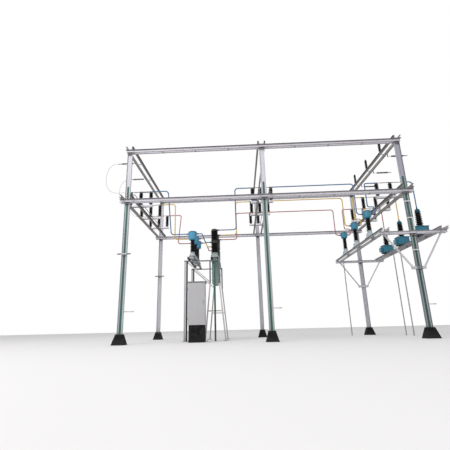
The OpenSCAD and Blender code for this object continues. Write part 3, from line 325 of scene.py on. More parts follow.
# Each ring's radius is lowest between two strands, and the strands turn with the run
lobe = np.abs(np.cos(STRANDS / 2 * (around[None, :] - 2 * np.pi * run[:, None] / LAY_LENGTH)))
ring = JUMPER_RADIUS - STRAND_RELIEF * (1 - lobe)
strand_section = np.stack([ring * np.cos(around), ring * np.sin(around)], -1)
for phase, y in PHASE_YS.items():
    path = np.stack([line[:, 0], np.full(len(line), y), line[:, 1]], -1)
    jumper = shell(
        f"{phase}_stranded_jumper", [carried(path, strand_section, (0, 1, 0))],
        ALUMINIUM, "gantry",
    )
    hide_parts(f"{phase}_jumper")

# The studio
# A wide pale floor under an even white surround, with one large soft lamp over the
# front of the bay, so that each colour renders about as it is written.
FLOOR_SIDE = 160.0
FLOOR_DROP = 0.002
FLOOR_COLOUR = (0.70, 0.69, 0.69, 1)
SURROUND_LIGHT = 0.80
LAMP_PLACE, LAMP_POWER, LAMP_SIDE = (-6.0, -16.0, 22.0), 4200, 14.0
LAMP_PITCH, LAMP_YAW = math.radians(-48), math.radians(28)


def white_surround():
    """The world: SURROUND_LIGHT on the object, plain white to the camera, gloss and glass."""
    world = bpy.data.worlds.new("surround")
    bpy.context.scene.world = world
    world.use_nodes = True
    tree = world.node_tree
    tree.nodes.clear()
    light, shown = (tree.nodes.new("ShaderNodeBackground") for _ in range(2))
    light.inputs["Color"].default_value = shown.inputs["Color"].default_value = (1, 1, 1, 1)
    light.inputs["Strength"].default_value = SURROUND_LIGHT
    ray = tree.nodes.new("ShaderNodeLightPath").outputs
    seen = ray["Is Camera Ray"]
    for kind in ("Is Glossy Ray", "Is Transmission Ray"):
        seen = add(tree, "Math", operation="MAXIMUM", in_0=seen, in_1=ray[kind]).outputs[0]
    mix = add(tree, "MixShader", in_0=seen, in_1=light.outputs[0], in_2=shown.outputs[0])
    out = tree.nodes.new("ShaderNodeOutputWorld")
    tree.links.new(mix.outputs[0], out.inputs[0])


white_surround()
lamp = bpy.data.objects.new("soft_lamp", bpy.data.lights.new("soft_lamp", "AREA"))
lamp.data.energy = LAMP_POWER
lamp.data.size = LAMP_SIDE
lamp.matrix_world = aimed(LAMP_PLACE, LAMP_PITCH, 0.0, LAMP_YAW)
bpy.context.scene.collection.objects.link(lamp)

floor_mesh = bpy.data.meshes.new("floor")
half = FLOOR_SIDE / 2
floor_mesh.from_pydata(
    [(x, y, -FLOOR_DROP) for x, y in ((-half, -half), (half, -half), (half, half), (-half, half))],
    [], [(0, 1, 2, 3)],
)
floor = bpy.data.objects.new("floor", floor_mesh)
bpy.context.scene.collection.objects.link(floor)
tree, shader, floor_paint = new_material("floor_pale")
shader.inputs["Base Color"].default_value = FLOOR_COLOUR
shader.inputs["Roughness"].default_value = 0.9
floor_mesh.materials.append(floor_paint)

# Galvanised columns
# Rolled H sections, hot-dip galvanised after fabrication: pale lilac-grey zinc with
# faint crystals, long rain streaks and soiled lower ends.
COLUMN_XS, ROW_YS = (0.0, 5.5, 11.0), (0.0, 6.1)
WEB_HALF, SHADED_BELOW = 0.088, 5.43
ZINC_PALE, ZINC_DULL, ZINC_STAIN = (0.60, 0.59, 0.635), (0.42, 0.43, 0.46), (0.22, 0.22, 0.235)
REAR_PALE, REAR_DULL = (0.51, 0.505, 0.55), (0.40, 0.40, 0.43)
# Painted shade: tones for the front columns below the beams, for the left and the right one above them, and
# for the right one's flanges
FRONT_LOW_SHADE, LEFT_HIGH_SHADE, RIGHT_HIGH_SHADE = (0.36, 0.385, 0.40), (0.46, 0.45, 0.485), (0.34, 0.34, 0.395)
OUTER_EDGE_SHADE, FLANGE_SHADE = (0.17, 0.17, 0.20), (0.11, 0.135, 0.14)
# Limits for retint: by the left or the right columns, in the front row, under the lower beams or above
ON_LEFT, ON_RIGHT = ("x", "LESS_THAN", COLUMN_XS[1] / 2), ("x", "GREATER_THAN", COLUMN_XS[1] * 1.5)
IN_FRONT = ("y", "LESS_THAN", ROW_YS[1] / 2)
BELOW_BEAMS, ABOVE_BEAMS = ("z", "LESS_THAN", SHADED_BELOW), ("z", "GREATER_THAN", SHADED_BELOW)


def dress(material, *names):
    """Gives CAD nodes this material."""
    for name in names:
        mesh = nodes[name].data
        mesh.materials.clear()
        mesh.materials.append(material)


# Painted shade: the front columns are darkened below the lower beams and toned down above them, the right one
# most; its flanges are darker still below the beams, and its outer flange above them too
FRONT_ZINC = zinc("front_column_zinc", ZINC_PALE, ZINC_DULL, ZINC_STAIN, splash=0.6)
retint(FRONT_ZINC, FRONT_LOW_SHADE, BELOW_BEAMS, share=0.6)
retint(FRONT_ZINC, LEFT_HIGH_SHADE, ABOVE_BEAMS, ON_LEFT)
retint(FRONT_ZINC, RIGHT_HIGH_SHADE, ABOVE_BEAMS, ON_RIGHT)
outer_flange = ("x", "GREATER_THAN", COLUMN_XS[2] + WEB_HALF)
inner_flange = ("x", "LESS_THAN", COLUMN_XS[2] - WEB_HALF)
retint(FRONT_ZINC, OUTER_EDGE_SHADE, ABOVE_BEAMS, outer_flange)
for flange in (outer_flange, inner_flange):
    retint(FRONT_ZINC, FLANGE_SHADE, flange, ON_RIGHT, BELOW_BEAMS)
dress(FRONT_ZINC, "front_columns")
dress(zinc("rear_column_zinc", REAR_PALE, REAR_DULL, ZINC_STAIN, splash=0.6), "rear_columns")

# Column joints
# Tie bolts clamp each pair of beam channels against the column from outside its
# flanges, and shorter bolts go through its web at the angle cleats below. The cleats
# are near black as painted shade of the column's hollow under the beams.
COLUMN_HALF_DEPTH, COLUMN_HALF_WIDTH = 0.100, 0.050
BEAM_LEVELS, ARM_LEVEL = (5.5, 7.7), 3.81
BEAM_HEIGHT, BEAM_WEB, BEAM_FLANGE, BEAM_WIDTH = 0.125, 0.006, 0.008, 0.065
ARM_HEIGHT, ARM_WIDTH = 0.100, 0.050
TIE_REACH, TIE_RISE, ARM_TIE_RISE, TIE_THREAD = 0.128, 0.030, 0.021, 0.016
CLEAT_THICK, CLEAT_BOLT_DROP, CLEAT_BOLT_REACH = 0.008, 0.046, 0.055
BOLT_PALE, BOLT_DULL, BOLT_STAIN = (0.50, 0.50, 0.51), (0.36, 0.36, 0.37), (0.14, 0.13, 0.12)
# The seat cleats' near-black tones are painted shade for the hollow under the beams
SEAT_PALE, SEAT_DULL, SEAT_STAIN = (0.16, 0.16, 0.17), (0.09, 0.09, 0.095), (0.05, 0.045, 0.045)
SUNK = 0.001
ROUND_CORNERS, ROD_CORNERS = 24, 12
SLANT = (0.36, 0.48, 0.80)
both = np.array([-1.0, 1.0])


def turned(profile, corners=ROUND_CORNERS):
    """A profile of (radius, height) pairs turned about +Z: corner s stands at 2 pi s / corners."""
    r, h = np.asarray(profile, float).T
    a = 2 * np.pi * np.arange(corners) / corners
    return np.stack([np.outer(r, np.cos(a)), np.outer(r, np.sin(a)), np.outer(h, np.ones(corners))], -1)


def round_bar(radius, length, edge=0.0, corners=ROUND_CORNERS):
    """A round bar up from its foot: a straight profile turned about +Z, whose two rims are cut
    back by edge where one is given."""
    rims = [(radius - edge, 0), (radius, edge), (radius, length - edge), (radius - edge, length)]
    return turned([(0, 0), *(rims if edge else rims[::2]), (0, length)], corners)


def hexagonal(d, stub=0.0):
    """A hexagon on a round washer for a thread of diameter d, the washer 0.19 d thick and the
    whole 0.85 d high: of a ring's twelve corners every second is at the hexagon's corner,
    0.87 d out, and the others are on its flats, 0.75 d out. A nut also has a stub of thread."""
    radius = np.outer([0, 1, 1, 1, 1, 0.5, 0.5, 0], np.ones(12)) * d
    radius[3:5] = np.where(np.arange(12) % 2 == 0, 0.866, 0.75) * d
    washer, top = 0.19 * d, 0.85 * d
    height = np.array([-SUNK, -SUNK, washer, washer, top, top, top + stub, top + stub])
    if not stub:
        radius, height = np.delete(radius, [5, 6], 0), np.delete(height, [5, 6])
    a = 2 * np.pi * np.arange(12) / 12
    return np.stack([radius * np.cos(a), radius * np.sin(a), np.repeat(height[:, None], 12, 1)], -1)


def placed(grid, spots, up=(0, 0, 1), along=SLANT):
    """Copies of a grid at spots: its +Z is turned to up, and its +X to along, made square to up."""
    spots = np.atleast_2d(np.asarray(spots, float))
    z = np.broadcast_to(np.asarray(up, float), spots.shape)
    x = np.broadcast_to(np.asarray(along, float), spots.shape)
    x = x - z * (x * z).sum(-1, keepdims=True)
    x = x / np.linalg.norm(x, axis=-1, keepdims=True)
    frames = np.stack([x, np.cross(z, x), z], -1)
    return np.einsum("mij,rsj->mrsi", frames, grid) + spots[:, None, None, :]


def every(*ways):
    """Every combination of the given coordinates, as an array of points."""
    return np.stack(np.meshgrid(*ways, indexing="ij"), -1).reshape(-1, len(ways))


def astride(places, reach):
    """Each place less reach and plus reach."""
    return (np.asarray(places, float)[..., None] + both * reach).ravel()


def straight_rods(starts, ends, radius):
    """Round bars from starts to ends: a bar one metre long, its height scaled to each length."""
    starts, ends = np.atleast_2d(starts).astype(float), np.atleast_2d(ends).astype(float)
    way = ends - starts
    length = np.linalg.norm(way, axis=1)
    unit = round_bar(radius, 1, corners=ROD_CORNERS)
    grids = [placed(unit * (1, 1, n), s, w / n) for s, w, n in zip(starts, way, length)]
    return np.concatenate(grids)


def through_bolts(places, half, thread, rod=True):
    """Bolts along Y through x, y, z places: a head in front, a nut behind, the rod between."""
    places = np.asarray(places, float)
    reach = np.array([0, half, 0])
    made = [placed(hexagonal(thread), places - reach, (0, -1, 0)),
            placed(hexagonal(thread, thread * 0.5), places + reach, (0, 1, 0))]
    return made + ([straight_rods(places - reach, places + reach, thread / 2)] if rod else [])


BOLT_ZINC = zinc(
    "bolt_zinc", BOLT_PALE, BOLT_DULL, BOLT_STAIN, patch=30.0, crystals=400.0, shine=0.6, wet=0.3)
dress(zinc("seat_zinc", SEAT_PALE, SEAT_DULL, SEAT_STAIN, patch=5.0), "seat_cleats")
tie_places = np.concatenate([
    every(astride(COLUMN_XS, TIE_REACH), ROW_YS, astride(BEAM_LEVELS, TIE_RISE)),
    every(astride(COLUMN_XS[2], TIE_REACH), ROW_YS, astride(ARM_LEVEL, ARM_TIE_RISE)),
])
cleat_levels = [z - BEAM_HEIGHT / 2 - CLEAT_BOLT_DROP for z in BEAM_LEVELS]
cleat_places = np.concatenate([
    every(astride(COLUMN_XS, CLEAT_BOLT_REACH), ROW_YS, cleat_levels),
    every(astride(COLUMN_XS[2], CLEAT_BOLT_REACH), ROW_YS, [ARM_LEVEL - ARM_HEIGHT / 2 - CLEAT_BOLT_DROP]),
])
shell(
    "column_joint_bolts",
    through_bolts(tie_places, COLUMN_HALF_WIDTH + BEAM_WEB, TIE_THREAD)
    + through_bolts(cleat_places, COLUMN_HALF_WIDTH + CLEAT_THICK, TIE_THREAD),
    BOLT_ZINC, "gantry",
)

# Footings
# Concrete stubs cast round the column feet and painted black, matt and scuffed. A
# sloping collar of mortar closes each round its column, so that rain runs off it.
FOOTING_BLACK, FOOTING_SCUFF = (0.007, 0.007, 0.008), (0.045, 0.043, 0.042)
MORTAR_DARK, MORTAR_DUSTY = (0.03, 0.03, 0.03), (0.09, 0.088, 0.085)
FOOTING_TOP, COLLAR_RISE, COLLAR_OVER, COLLAR_ROUND = 0.350, 0.030, 0.050, 0.012
CORNER_STEPS = 3


def matt_paint(name, base, scuff, patch=5.0):
    """Matt paint on concrete: fractal scuffs over half the base colour, dust near the ground,
    and a bump of 3 mm pits."""
    tree, shader, made = new_material(name)
    weather = use_group(tree, WEATHER, Patch_Scale=patch, Grain_Scale=90.0, Splash_Height=0.3)
    scuffed = mixed(tree, times(tree, weather["Mottle"], 0.5), base, scuff)
    colour = mixed(tree, times(tree, weather["Splash"], 0.35), scuffed, scuff)
    finish_shader(tree, shader, colour, 0.85, weather["Grain"], 0.003)
    shader.inputs["Specular IOR Level"].default_value = 0.12
    return made


def rounded_rows(levels, corner):
    """A rounded rectangle's outline at each level (width, depth, height), with a pole at each
    end: every corner is an arc of radius corner, held to half of the level's smaller side."""
    w, d, h = np.asarray(levels, float).T
    r = np.minimum(corner, 0.499 * np.minimum(w, d))
    turn = np.linspace(0, np.pi / 2, CORNER_STEPS + 1)[None, :] + (np.arange(4) * np.pi / 2)[:, None]
    sx, sy = np.array([1, -1, -1, 1])[:, None], np.array([1, 1, -1, -1])[:, None]
    r, w, d = r[:, None, None], w[:, None, None], d[:, None, None]
    x = (sx * (w / 2 - r) + r * np.cos(turn)).reshape(len(h), -1)
    y = (sy * (d / 2 - r) + r * np.sin(turn)).reshape(len(h), -1)
    return capped(np.stack([x, y, np.repeat(h[:, None], x.shape[1], 1)], -1))


def softened(w, d, h, corner=0.004, edge=0.0015):
    """A block w x d x h on its base: rounded upright corners, and top and bottom edges eased
    by a bevel of width edge."""
    return rounded_rows([
        (w - 2 * edge, d - 2 * edge, 0), (w, d, edge), (w, d, h - edge), (w - 2 * edge, d - 2 * edge, h),
    ], corner)


dress(matt_paint("footing_paint", FOOTING_BLACK, FOOTING_SCUFF), "footings", "kiosk_plinth")
collar_w, collar_d = 2 * COLUMN_HALF_DEPTH, 2 * COLUMN_HALF_WIDTH
collar = rounded_rows([
    (collar_w + 2 * COLLAR_OVER, collar_d + 2 * COLLAR_OVER, -SUNK),
    (collar_w + 2 * COLLAR_OVER, collar_d + 2 * COLLAR_OVER, COLLAR_RISE / 3),
    (collar_w + COLLAR_OVER / 2, collar_d + COLLAR_OVER / 2, COLLAR_RISE),
], COLLAR_ROUND)
shell(
    "mortar_collars", [placed(collar, every(COLUMN_XS, ROW_YS, [FOOTING_TOP]), along=(1, 0, 0))],
    matt_paint("mortar", MORTAR_DARK, MORTAR_DUSTY, patch=9.0), "gantry",
)

# Long beams
# Pairs of rolled channels back to back against the columns, with flat plates bolted
# across below them between the columns, and below the top cross beams at each phase.
PLATE_THREAD, PLATE_THICK, PLATE_STUB, PLATES_A_BAY = 0.012, 0.006, 0.006, 3
PLATE_BOLT_OUT = BEAM_WIDTH * 0.6
CROSS_HALF = {BEAM_LEVELS[1]: 0.100, BEAM_LEVELS[0]: 0.175}
BEAM_PALE, BEAM_DULL = (0.71, 0.69, 0.74), (0.58, 0.56, 0.61)
# Painted shade for faces turned down and up, for the upper flanges' undersides and for the web below them
BEAM_UNDER_SHADE, BEAM_TOP_SHADE = (0.34, 0.33, 0.35), (0.46, 0.45, 0.48)
LEDGE_SHADE, UPPER_WEB_SHADE, SHADE_START_ABOVE = (0.10, 0.095, 0.10), (0.22, 0.21, 0.225), 0.034
PLATE_PALE, PLATE_DULL, PLATE_STAIN = (0.47, 0.46, 0.49), (0.36, 0.35, 0.37), (0.16, 0.16, 0.16)
FACING_DOWN, FACING_UP = ("up", "LESS_THAN", -0.5), ("up", "GREATER_THAN", 0.5)


def between(measure, low, high):
    """Two limits for retint, which hold where the measure is from low to high."""
    return (measure, "GREATER_THAN", low), (measure, "LESS_THAN", high)


BEAM_ZINC = zinc("beam_zinc", BEAM_PALE, BEAM_DULL, ZINC_STAIN, patch=0.6, shine=0.1, wet=0.08)
# Painted shade: faces turned down are darkened, and faces turned up are toned down less
retint(BEAM_ZINC, BEAM_UNDER_SHADE, FACING_DOWN)
retint(BEAM_ZINC, BEAM_TOP_SHADE, FACING_UP)
# Painted shade: the upper flanges' undersides and the web just below them are darkened, at each beam level
# and at the arms
for level in (*BEAM_LEVELS, ARM_LEVEL):
    above = level + BEAM_HEIGHT
    retint(BEAM_ZINC, LEDGE_SHADE, FACING_DOWN, *between("z", level, above))
    retint(BEAM_ZINC, UPPER_WEB_SHADE, ("up", "LESS_THAN", 0.5), *between("z", level + SHADE_START_ABOVE, above), share=0.7)
dress(BEAM_ZINC, "top_front_beam", "top_rear_beam", "lower_front_beam", "lower_rear_beam")
dress(zinc("plate_zinc", PLATE_PALE, PLATE_DULL, PLATE_STAIN, patch=4.0), "beam_cleats")
bay_xs = [a + (b - a) * k / (PLATES_A_BAY + 1)
          for a, b in zip(COLUMN_XS, COLUMN_XS[1:]) for k in range(1, PLATES_A_BAY + 1)]
long_plates = every(
    bay_xs, astride(ROW_YS, COLUMN_HALF_WIDTH + PLATE_BOLT_OUT),
    [z - BEAM_HEIGHT / 2 - PLATE_THICK for z in BEAM_LEVELS],
)
phase_ys = np.array(list(PHASE_YS.values()))
cross_plates = every(
    astride((COLUMN_XS[0], COLUMN_XS[2]), CROSS_HALF[BEAM_LEVELS[1]] + PLATE_BOLT_OUT),
    phase_ys, [BEAM_LEVELS[1] + BEAM_HEIGHT / 2 - PLATE_THICK],
)
plate_heads = np.concatenate([long_plates, cross_plates])
shell(
    "tie_plate_bolts",
    [placed(hexagonal(PLATE_THREAD), plate_heads, (0, 0, -1)),
     placed(hexagonal(PLATE_THREAD, PLATE_STUB), plate_heads + (0, 0, PLATE_THICK + BEAM_FLANGE))],
    BOLT_ZINC, "gantry",
)

# Cross beams
# Darker, older channels laid over the long beams and bolted down flange to flange,
# four bolts at each crossing. The outrigger's beams lie on its arms in the same way.
OLD_PALE, OLD_DULL, OLD_STAIN = (0.33, 0.315, 0.305), (0.22, 0.21, 0.205), (0.11, 0.105, 0.10)
# Painted light on faces turned up and painted shade on faces turned down; the isolator bases take the same
# tones
UP_FACE_PAINTED_LIGHT, DOWN_FACE_SHADE = (0.48, 0.47, 0.46), (0.19, 0.18, 0.175)
CROSS_THREAD, CROSS_STUB, CROSS_BOLT_OUT = 0.016, 0.008, BEAM_WIDTH * 0.55
OUTRIGGER_XS, OUTRIGGER_HALF, ARM_BOLT_OUT = (9.90, 12.05), 0.110, ARM_WIDTH * 0.6

OLD_ZINC = zinc("old_zinc", OLD_PALE, OLD_DULL, OLD_STAIN, patch=2.2)
# Painted light: faces turned up are lightened, and faces turned down are darkened as shade
retint(OLD_ZINC, UP_FACE_PAINTED_LIGHT, FACING_UP, share=0.7)
retint(OLD_ZINC, DOWN_FACE_SHADE, FACING_DOWN, share=0.7)
dress(OLD_ZINC, "top_cross_beams", "lower_cross_beams")
crossings = np.concatenate([
    every(astride(COLUMN_XS, CROSS_HALF[z] + CROSS_BOLT_OUT),
          astride(ROW_YS, COLUMN_HALF_WIDTH + CROSS_BOLT_OUT), [z + BEAM_HEIGHT / 2])
    for z in BEAM_LEVELS
] + [
    every(astride(OUTRIGGER_XS, OUTRIGGER_HALF + ARM_BOLT_OUT),
          astride(ROW_YS, COLUMN_HALF_WIDTH + ARM_BOLT_OUT), [ARM_LEVEL + ARM_HEIGHT / 2]),
])
shell(
    "crossing_bolts",
    [placed(hexagonal(CROSS_THREAD), crossings + (0, 0, BEAM_FLANGE)),
     placed(hexagonal(CROSS_THREAD, CROSS_STUB), crossings - (0, 0, BEAM_FLANGE), (0, 0, -1))],
    BOLT_ZINC, "gantry",
)

# Outrigger
# Arms of paired channels on the right columns, held up by knee braces of two flats
# that are bolted to ears across the column below and to the arms' webs above.
EAR_LEVEL, EAR_REACH, EAR_HALF, EAR_THREAD = 2.47, 0.198, 0.060, 0.016
EAR_CLAMP_OUT, EAR_CLAMP_RISE = 0.018, 0.030
BRACE_TOP_XS = (9.919, 12.031)
BRACE_PALE, BRACE_DULL = (0.60, 0.585, 0.62), (0.46, 0.45, 0.48)
OUTRIGGER_PALE, OUTRIGGER_DULL = (0.44, 0.43, 0.44), (0.32, 0.315, 0.32)
OUTRIGGER_UNDER_SHADE = (0.12, 0.115, 0.12)

BRACE_ZINC = zinc("brace_zinc", BRACE_PALE, BRACE_DULL, ZINC_STAIN, patch=0.9, wet=0.2)
# Painted shade: the ears across the front column are as dark as its flanges
retint(BRACE_ZINC, FLANGE_SHADE, IN_FRONT, ("z", "LESS_THAN", EAR_LEVEL + EAR_HALF),
       *between("x", COLUMN_XS[2] - COLUMN_HALF_DEPTH, COLUMN_XS[2] + COLUMN_HALF_DEPTH))
dress(BRACE_ZINC, "outrigger_braces")
# Painted shade on the arms' faces turned down
retint(BEAM_ZINC, OUTRIGGER_UNDER_SHADE, FACING_DOWN, *between("z", ARM_LEVEL - BEAM_HEIGHT, ARM_LEVEL))
dress(BEAM_ZINC, "outrigger_arms")
OUTRIGGER_ZINC = zinc("outrigger_zinc", OUTRIGGER_PALE, OUTRIGGER_DULL, OLD_STAIN, patch=2.2)
# Painted shade on the beams' faces turned down
retint(OUTRIGGER_ZINC, OUTRIGGER_UNDER_SHADE, FACING_DOWN, share=0.7)
dress(OUTRIGGER_ZINC, "outrigger_beams")
ear_places = every(astride(COLUMN_XS[2], EAR_REACH), ROW_YS, [EAR_LEVEL])
ear_clamps = every(
    astride(COLUMN_XS[2], COLUMN_HALF_DEPTH + EAR_CLAMP_OUT), ROW_YS, astride(EAR_LEVEL, EAR_CLAMP_RISE))
brace_tops = every(BRACE_TOP_XS, ROW_YS, [ARM_LEVEL])
shell(
    "knee_brace_bolts",
    through_bolts(ear_places, EAR_HALF, EAR_THREAD) + through_bolts(ear_clamps, EAR_HALF, EAR_THREAD)
    + through_bolts(brace_tops, COLUMN_HALF_WIDTH + BEAM_WEB, EAR_THREAD, rod=False),
    BOLT_ZINC, "gantry",
)

# Earthing flats
# Flat steel bars painted dark green, from the footings up past the lower beam, held
# to the column webs by small bolts. The breaker's frame has one up its front.
GREEN_BASE, GREEN_CHALK, GREEN_WORN = (0.010, 0.090, 0.065), (0.025, 0.125, 0.095), (0.03, 0.05, 0.045)
GREEN_RIGHT, GREEN_SHADED = (0.010, 0.105, 0.080), (0.015, 0.050, 0.040)
FLAT_FACE, FLAT_THREAD, FLAT_BOLTS = -0.0095, 0.010, (0.5, 1.6, 2.7, 3.8, 4.9, 6.0)
BREAKER_X, BREAKER_FRONT, BREAKER_FLAT_BOLTS = 3.34, 1.914, (0.6, 1.6, 2.6, 3.2)


def brushed_paint(name, base, faded, worn, rough, patch=2.5, chips=0.6, coat=0.15, wet=0.35):
    """Brush or shop paint: patches fade it, fine streaks soil it, and small chips show its
    undercoat."""
    tree, shader, made = new_material(name)
    weather = use_group(tree, WEATHER, Patch_Scale=patch, Streak_Scale=14.0)
    flakes = add(tree, "TexNoise", in_0=add(tree, "TexCoord").outputs["Object"])
    flakes.inputs["Scale"].default_value = 38.0
    flakes.inputs["Detail"].default_value = 6.0
    chip = ramp(tree, flakes.outputs["Fac"], 0.68, 0.72)
    aged = mixed(tree, times(tree, weather["Mottle"], 0.6), base, faded)
    soiled = mixed(tree, times(tree, weather["Streaks"], wet), aged, worn)
    colour = mixed(tree, times(tree, chip, chips), soiled, worn)
    spread = add(tree, "MapRange", in_0=weather["Mottle"], in_3=rough, in_4=rough + 0.15).outputs[0]
    finish_shader(tree, shader, colour, spread, weather["Grain"], 0.0003)
    shader.inputs["Coat Weight"].default_value = coat
    return made


EARTH_GREEN = brushed_paint("earth_green", GREEN_BASE, GREEN_CHALK, GREEN_WORN, 0.5, wet=0.2)
retint(EARTH_GREEN, GREEN_RIGHT, ON_RIGHT, share=0.7)
retint(EARTH_GREEN, GREEN_SHADED, ON_RIGHT, ("z", "LESS_THAN", ARM_LEVEL - ARM_HEIGHT / 2), share=0.7)
dress(EARTH_GREEN, "earth_strips")
shell(
    "earth_flat_bolts",
    [placed(hexagonal(FLAT_THREAD), every(COLUMN_XS, [FLAT_FACE], FLAT_BOLTS), (0, -1, 0)),
     placed(hexagonal(FLAT_THREAD), every([BREAKER_X], [BREAKER_FRONT], BREAKER_FLAT_BOLTS), (0, -1, 0))],
    EARTH_GREEN, "gantry",
)

# Straps and the cable duct
# Pale straps round the right front column, each closed by a buckle with two screws,
# and a short white duct with three clips below the middle one. Angle brackets cross
# the left columns on two bolts each.
STRAP_PALE, STRAP_FADED, STRAP_WORN = (0.66, 0.68, 0.69), (0.54, 0.56, 0.58), (0.2, 0.2, 0.2)
BRACKET_DARK, BRACKET_HIGHLIGHT = (0.10, 0.10, 0.105), (0.62, 0.63, 0.66)
DUCT_PALE, DUCT_FADED, DUCT_WORN = (0.74, 0.75, 0.75), (0.62, 0.63, 0.62), (0.3, 0.3, 0.29)
STRAP_FOOTS, STRAP_HEIGHT, STRAP_FACE = (3.11, 4.36, 5.03), 0.045, -0.055
BUCKLE, BUCKLE_X, BUCKLE_SCREW_OUT, BUCKLE_THREAD = (0.060, 0.030, 0.014), 10.945, 0.015, 0.008
DUCT_X, DUCT_RADIUS, DUCT_LOW, DUCT_HIGH, DUCT_EDGE = 11.060, 0.017, 3.885, 4.355, 0.002
CLIP_LEVELS, CLIP_THICK, CLIP_LONG = (3.95, 4.13, 4.31), 0.004, 0.022
CLIP_FOOT, CLIP_FOOT_OUT, CLIP_FOOT_CORNER = (0.026, 0.012, 0.020), 0.012, 0.003
BRACKET_LEVEL, BRACKET_REACH, BRACKET_THICK, BRACKET_THREAD = 3.325, 0.050, 0.005, 0.012

STRAP_GREY = brushed_paint("strap_grey", STRAP_PALE, STRAP_FADED, STRAP_WORN, 0.5)
retint(STRAP_GREY, BRACKET_DARK, ON_LEFT, share=1.0)
# Painted highlight: the front bracket is lightened to the column's pale where it crosses it, so that its
# shaded face reads bright
retint(STRAP_GREY, BRACKET_HIGHLIGHT, *between("x", -COLUMN_HALF_DEPTH, COLUMN_HALF_DEPTH), IN_FRONT, share=0.9)
dress(STRAP_GREY, "column_straps")
strap_middles = [z + STRAP_HEIGHT / 2 for z in STRAP_FOOTS]
buckle_screws = every(astride(BUCKLE_X, BUCKLE_SCREW_OUT), [STRAP_FACE - BUCKLE[2]], strap_middles)
shell(
    "strap_buckles",
    [placed(softened(*BUCKLE), every([BUCKLE_X], [STRAP_FACE], strap_middles), (0, -1, 0), (1, 0, 0)),
     placed(hexagonal(BUCKLE_THREAD), buckle_screws, (0, -1, 0))],
    STRAP_GREY, "gantry",
)
DUCT_WHITE = brushed_paint("duct_white", DUCT_PALE, DUCT_FADED, DUCT_WORN, 0.45, chips=0.0)
duct_y = STRAP_FACE - DUCT_RADIUS - BEAM_WEB
clip_foot = softened(*CLIP_FOOT, CLIP_FOOT_CORNER)
shell(
    "white_cable_duct",
    [placed(round_bar(DUCT_RADIUS, DUCT_HIGH - DUCT_LOW, DUCT_EDGE), (DUCT_X, duct_y, DUCT_LOW)),
     placed(round_bar(DUCT_RADIUS + CLIP_THICK, CLIP_LONG), every([DUCT_X], [duct_y], CLIP_LEVELS)),
     placed(clip_foot, every([DUCT_X], [STRAP_FACE + CLIP_FOOT_OUT], CLIP_LEVELS), (0, -1, 0), (1, 0, 0))],
    DUCT_WHITE, "gantry",
)
bracket_ys = [y - COLUMN_HALF_WIDTH - BRACKET_THICK for y in ROW_YS]
bracket_spots = every(both * BRACKET_REACH, bracket_ys, [BRACKET_LEVEL])
shell(
    "bracket_bolts", [placed(hexagonal(BRACKET_THREAD), bracket_spots, (0, -1, 0))],
    BOLT_ZINC, "gantry",
)

# Isolator bases
# Channels laid toes down across the lower cross beams, each held by clips that a bolt
# pulls onto the beam's flange, with cast stools bolted on top in the phase's colour.
SETS, PHASES = ("left", "middle", "right"), tuple(PHASE_YS)
SET_XS, POST_GAPS = (0.160, 5.500, 11.050), (0.450, 0.400, 0.580)
BASE_FOOT, BASE_HALF, BASE_HEIGHT = 5.6875, 0.065, 0.075
STOOL_FLANGE, STOOL_BOLT_RING, STOOL_THREAD, STOOL_REACH = 0.008, 0.050, 0.008, 0.060
CLIP, CLIP_THREAD, CLIP_STUB = (0.050, 0.044, 0.010), 0.012, 0.008
BASE_PALE, BASE_DULL, BASE_STAIN = (0.70, 0.69, 0.74), (0.57, 0.56, 0.60), (0.27, 0.265, 0.28)
# Each phase's paint: as new, faded and worn
PHASE_PAINT = {
    "blue": ((0.045, 0.145, 0.310), (0.11, 0.20, 0.36), (0.05, 0.06, 0.09)),
    "yellow": ((0.64, 0.41, 0.055), (0.68, 0.49, 0.14), (0.18, 0.12, 0.04)),
    "red": ((0.35, 0.080, 0.110), (0.42, 0.17, 0.20), (0.12, 0.05, 0.05)),
}


def ringed(centres, radius, count, start=0.0):
    """Points on a level ring round each centre: angle start + 2 pi k / count."""
    a = start + 2 * np.pi * np.arange(count) / count
    ring = np.stack([radius * np.cos(a), radius * np.sin(a), 0 * a], -1)
    return (np.atleast_2d(centres)[:, None] + ring).reshape(-1, 3)


BASE_ZINC = zinc("base_zinc", BASE_PALE, BASE_DULL, BASE_STAIN, patch=2.2, shine=0.1)
# Painted light: the cross beams' tones darken these faces turned up, and more those turned down, as painted
# shade
retint(BASE_ZINC, UP_FACE_PAINTED_LIGHT, FACING_UP, share=0.7)
retint(BASE_ZINC, DOWN_FACE_SHADE, FACING_DOWN, share=0.7)
above_bases = ("z", "GREATER_THAN", BASE_FOOT + BASE_HEIGHT + SUNK)
for phase, y in PHASE_YS.items():
    retint(BASE_ZINC, PHASE_PAINT[phase][0], above_bases, *between("y", y - STOOL_REACH, y + STOOL_REACH))
dress(BASE_ZINC, "isolator_bases")
clip_spots = every(
    astride(COLUMN_XS, CROSS_HALF[BEAM_LEVELS[0]] + CROSS_BOLT_OUT),
    astride(phase_ys, BASE_HALF + CLIP[1] * 0.4), [BASE_FOOT],
)
stool_spots = np.concatenate([
    every([x - gap, x, x + gap], phase_ys, [BASE_FOOT + BASE_HEIGHT + STOOL_FLANGE])
    for x, gap in zip(SET_XS, POST_GAPS)
])
shell(
    "base_clips_and_bolts",
    [placed(softened(*CLIP), clip_spots, along=(1, 0, 0)),
     placed(hexagonal(CLIP_THREAD, CLIP_STUB), clip_spots + (0, 0, CLIP[2])),
     placed(hexagonal(STOOL_THREAD), ringed(stool_spots, STOOL_BOLT_RING, 4, np.pi / 4))],
    BOLT_ZINC, "gantry",
)

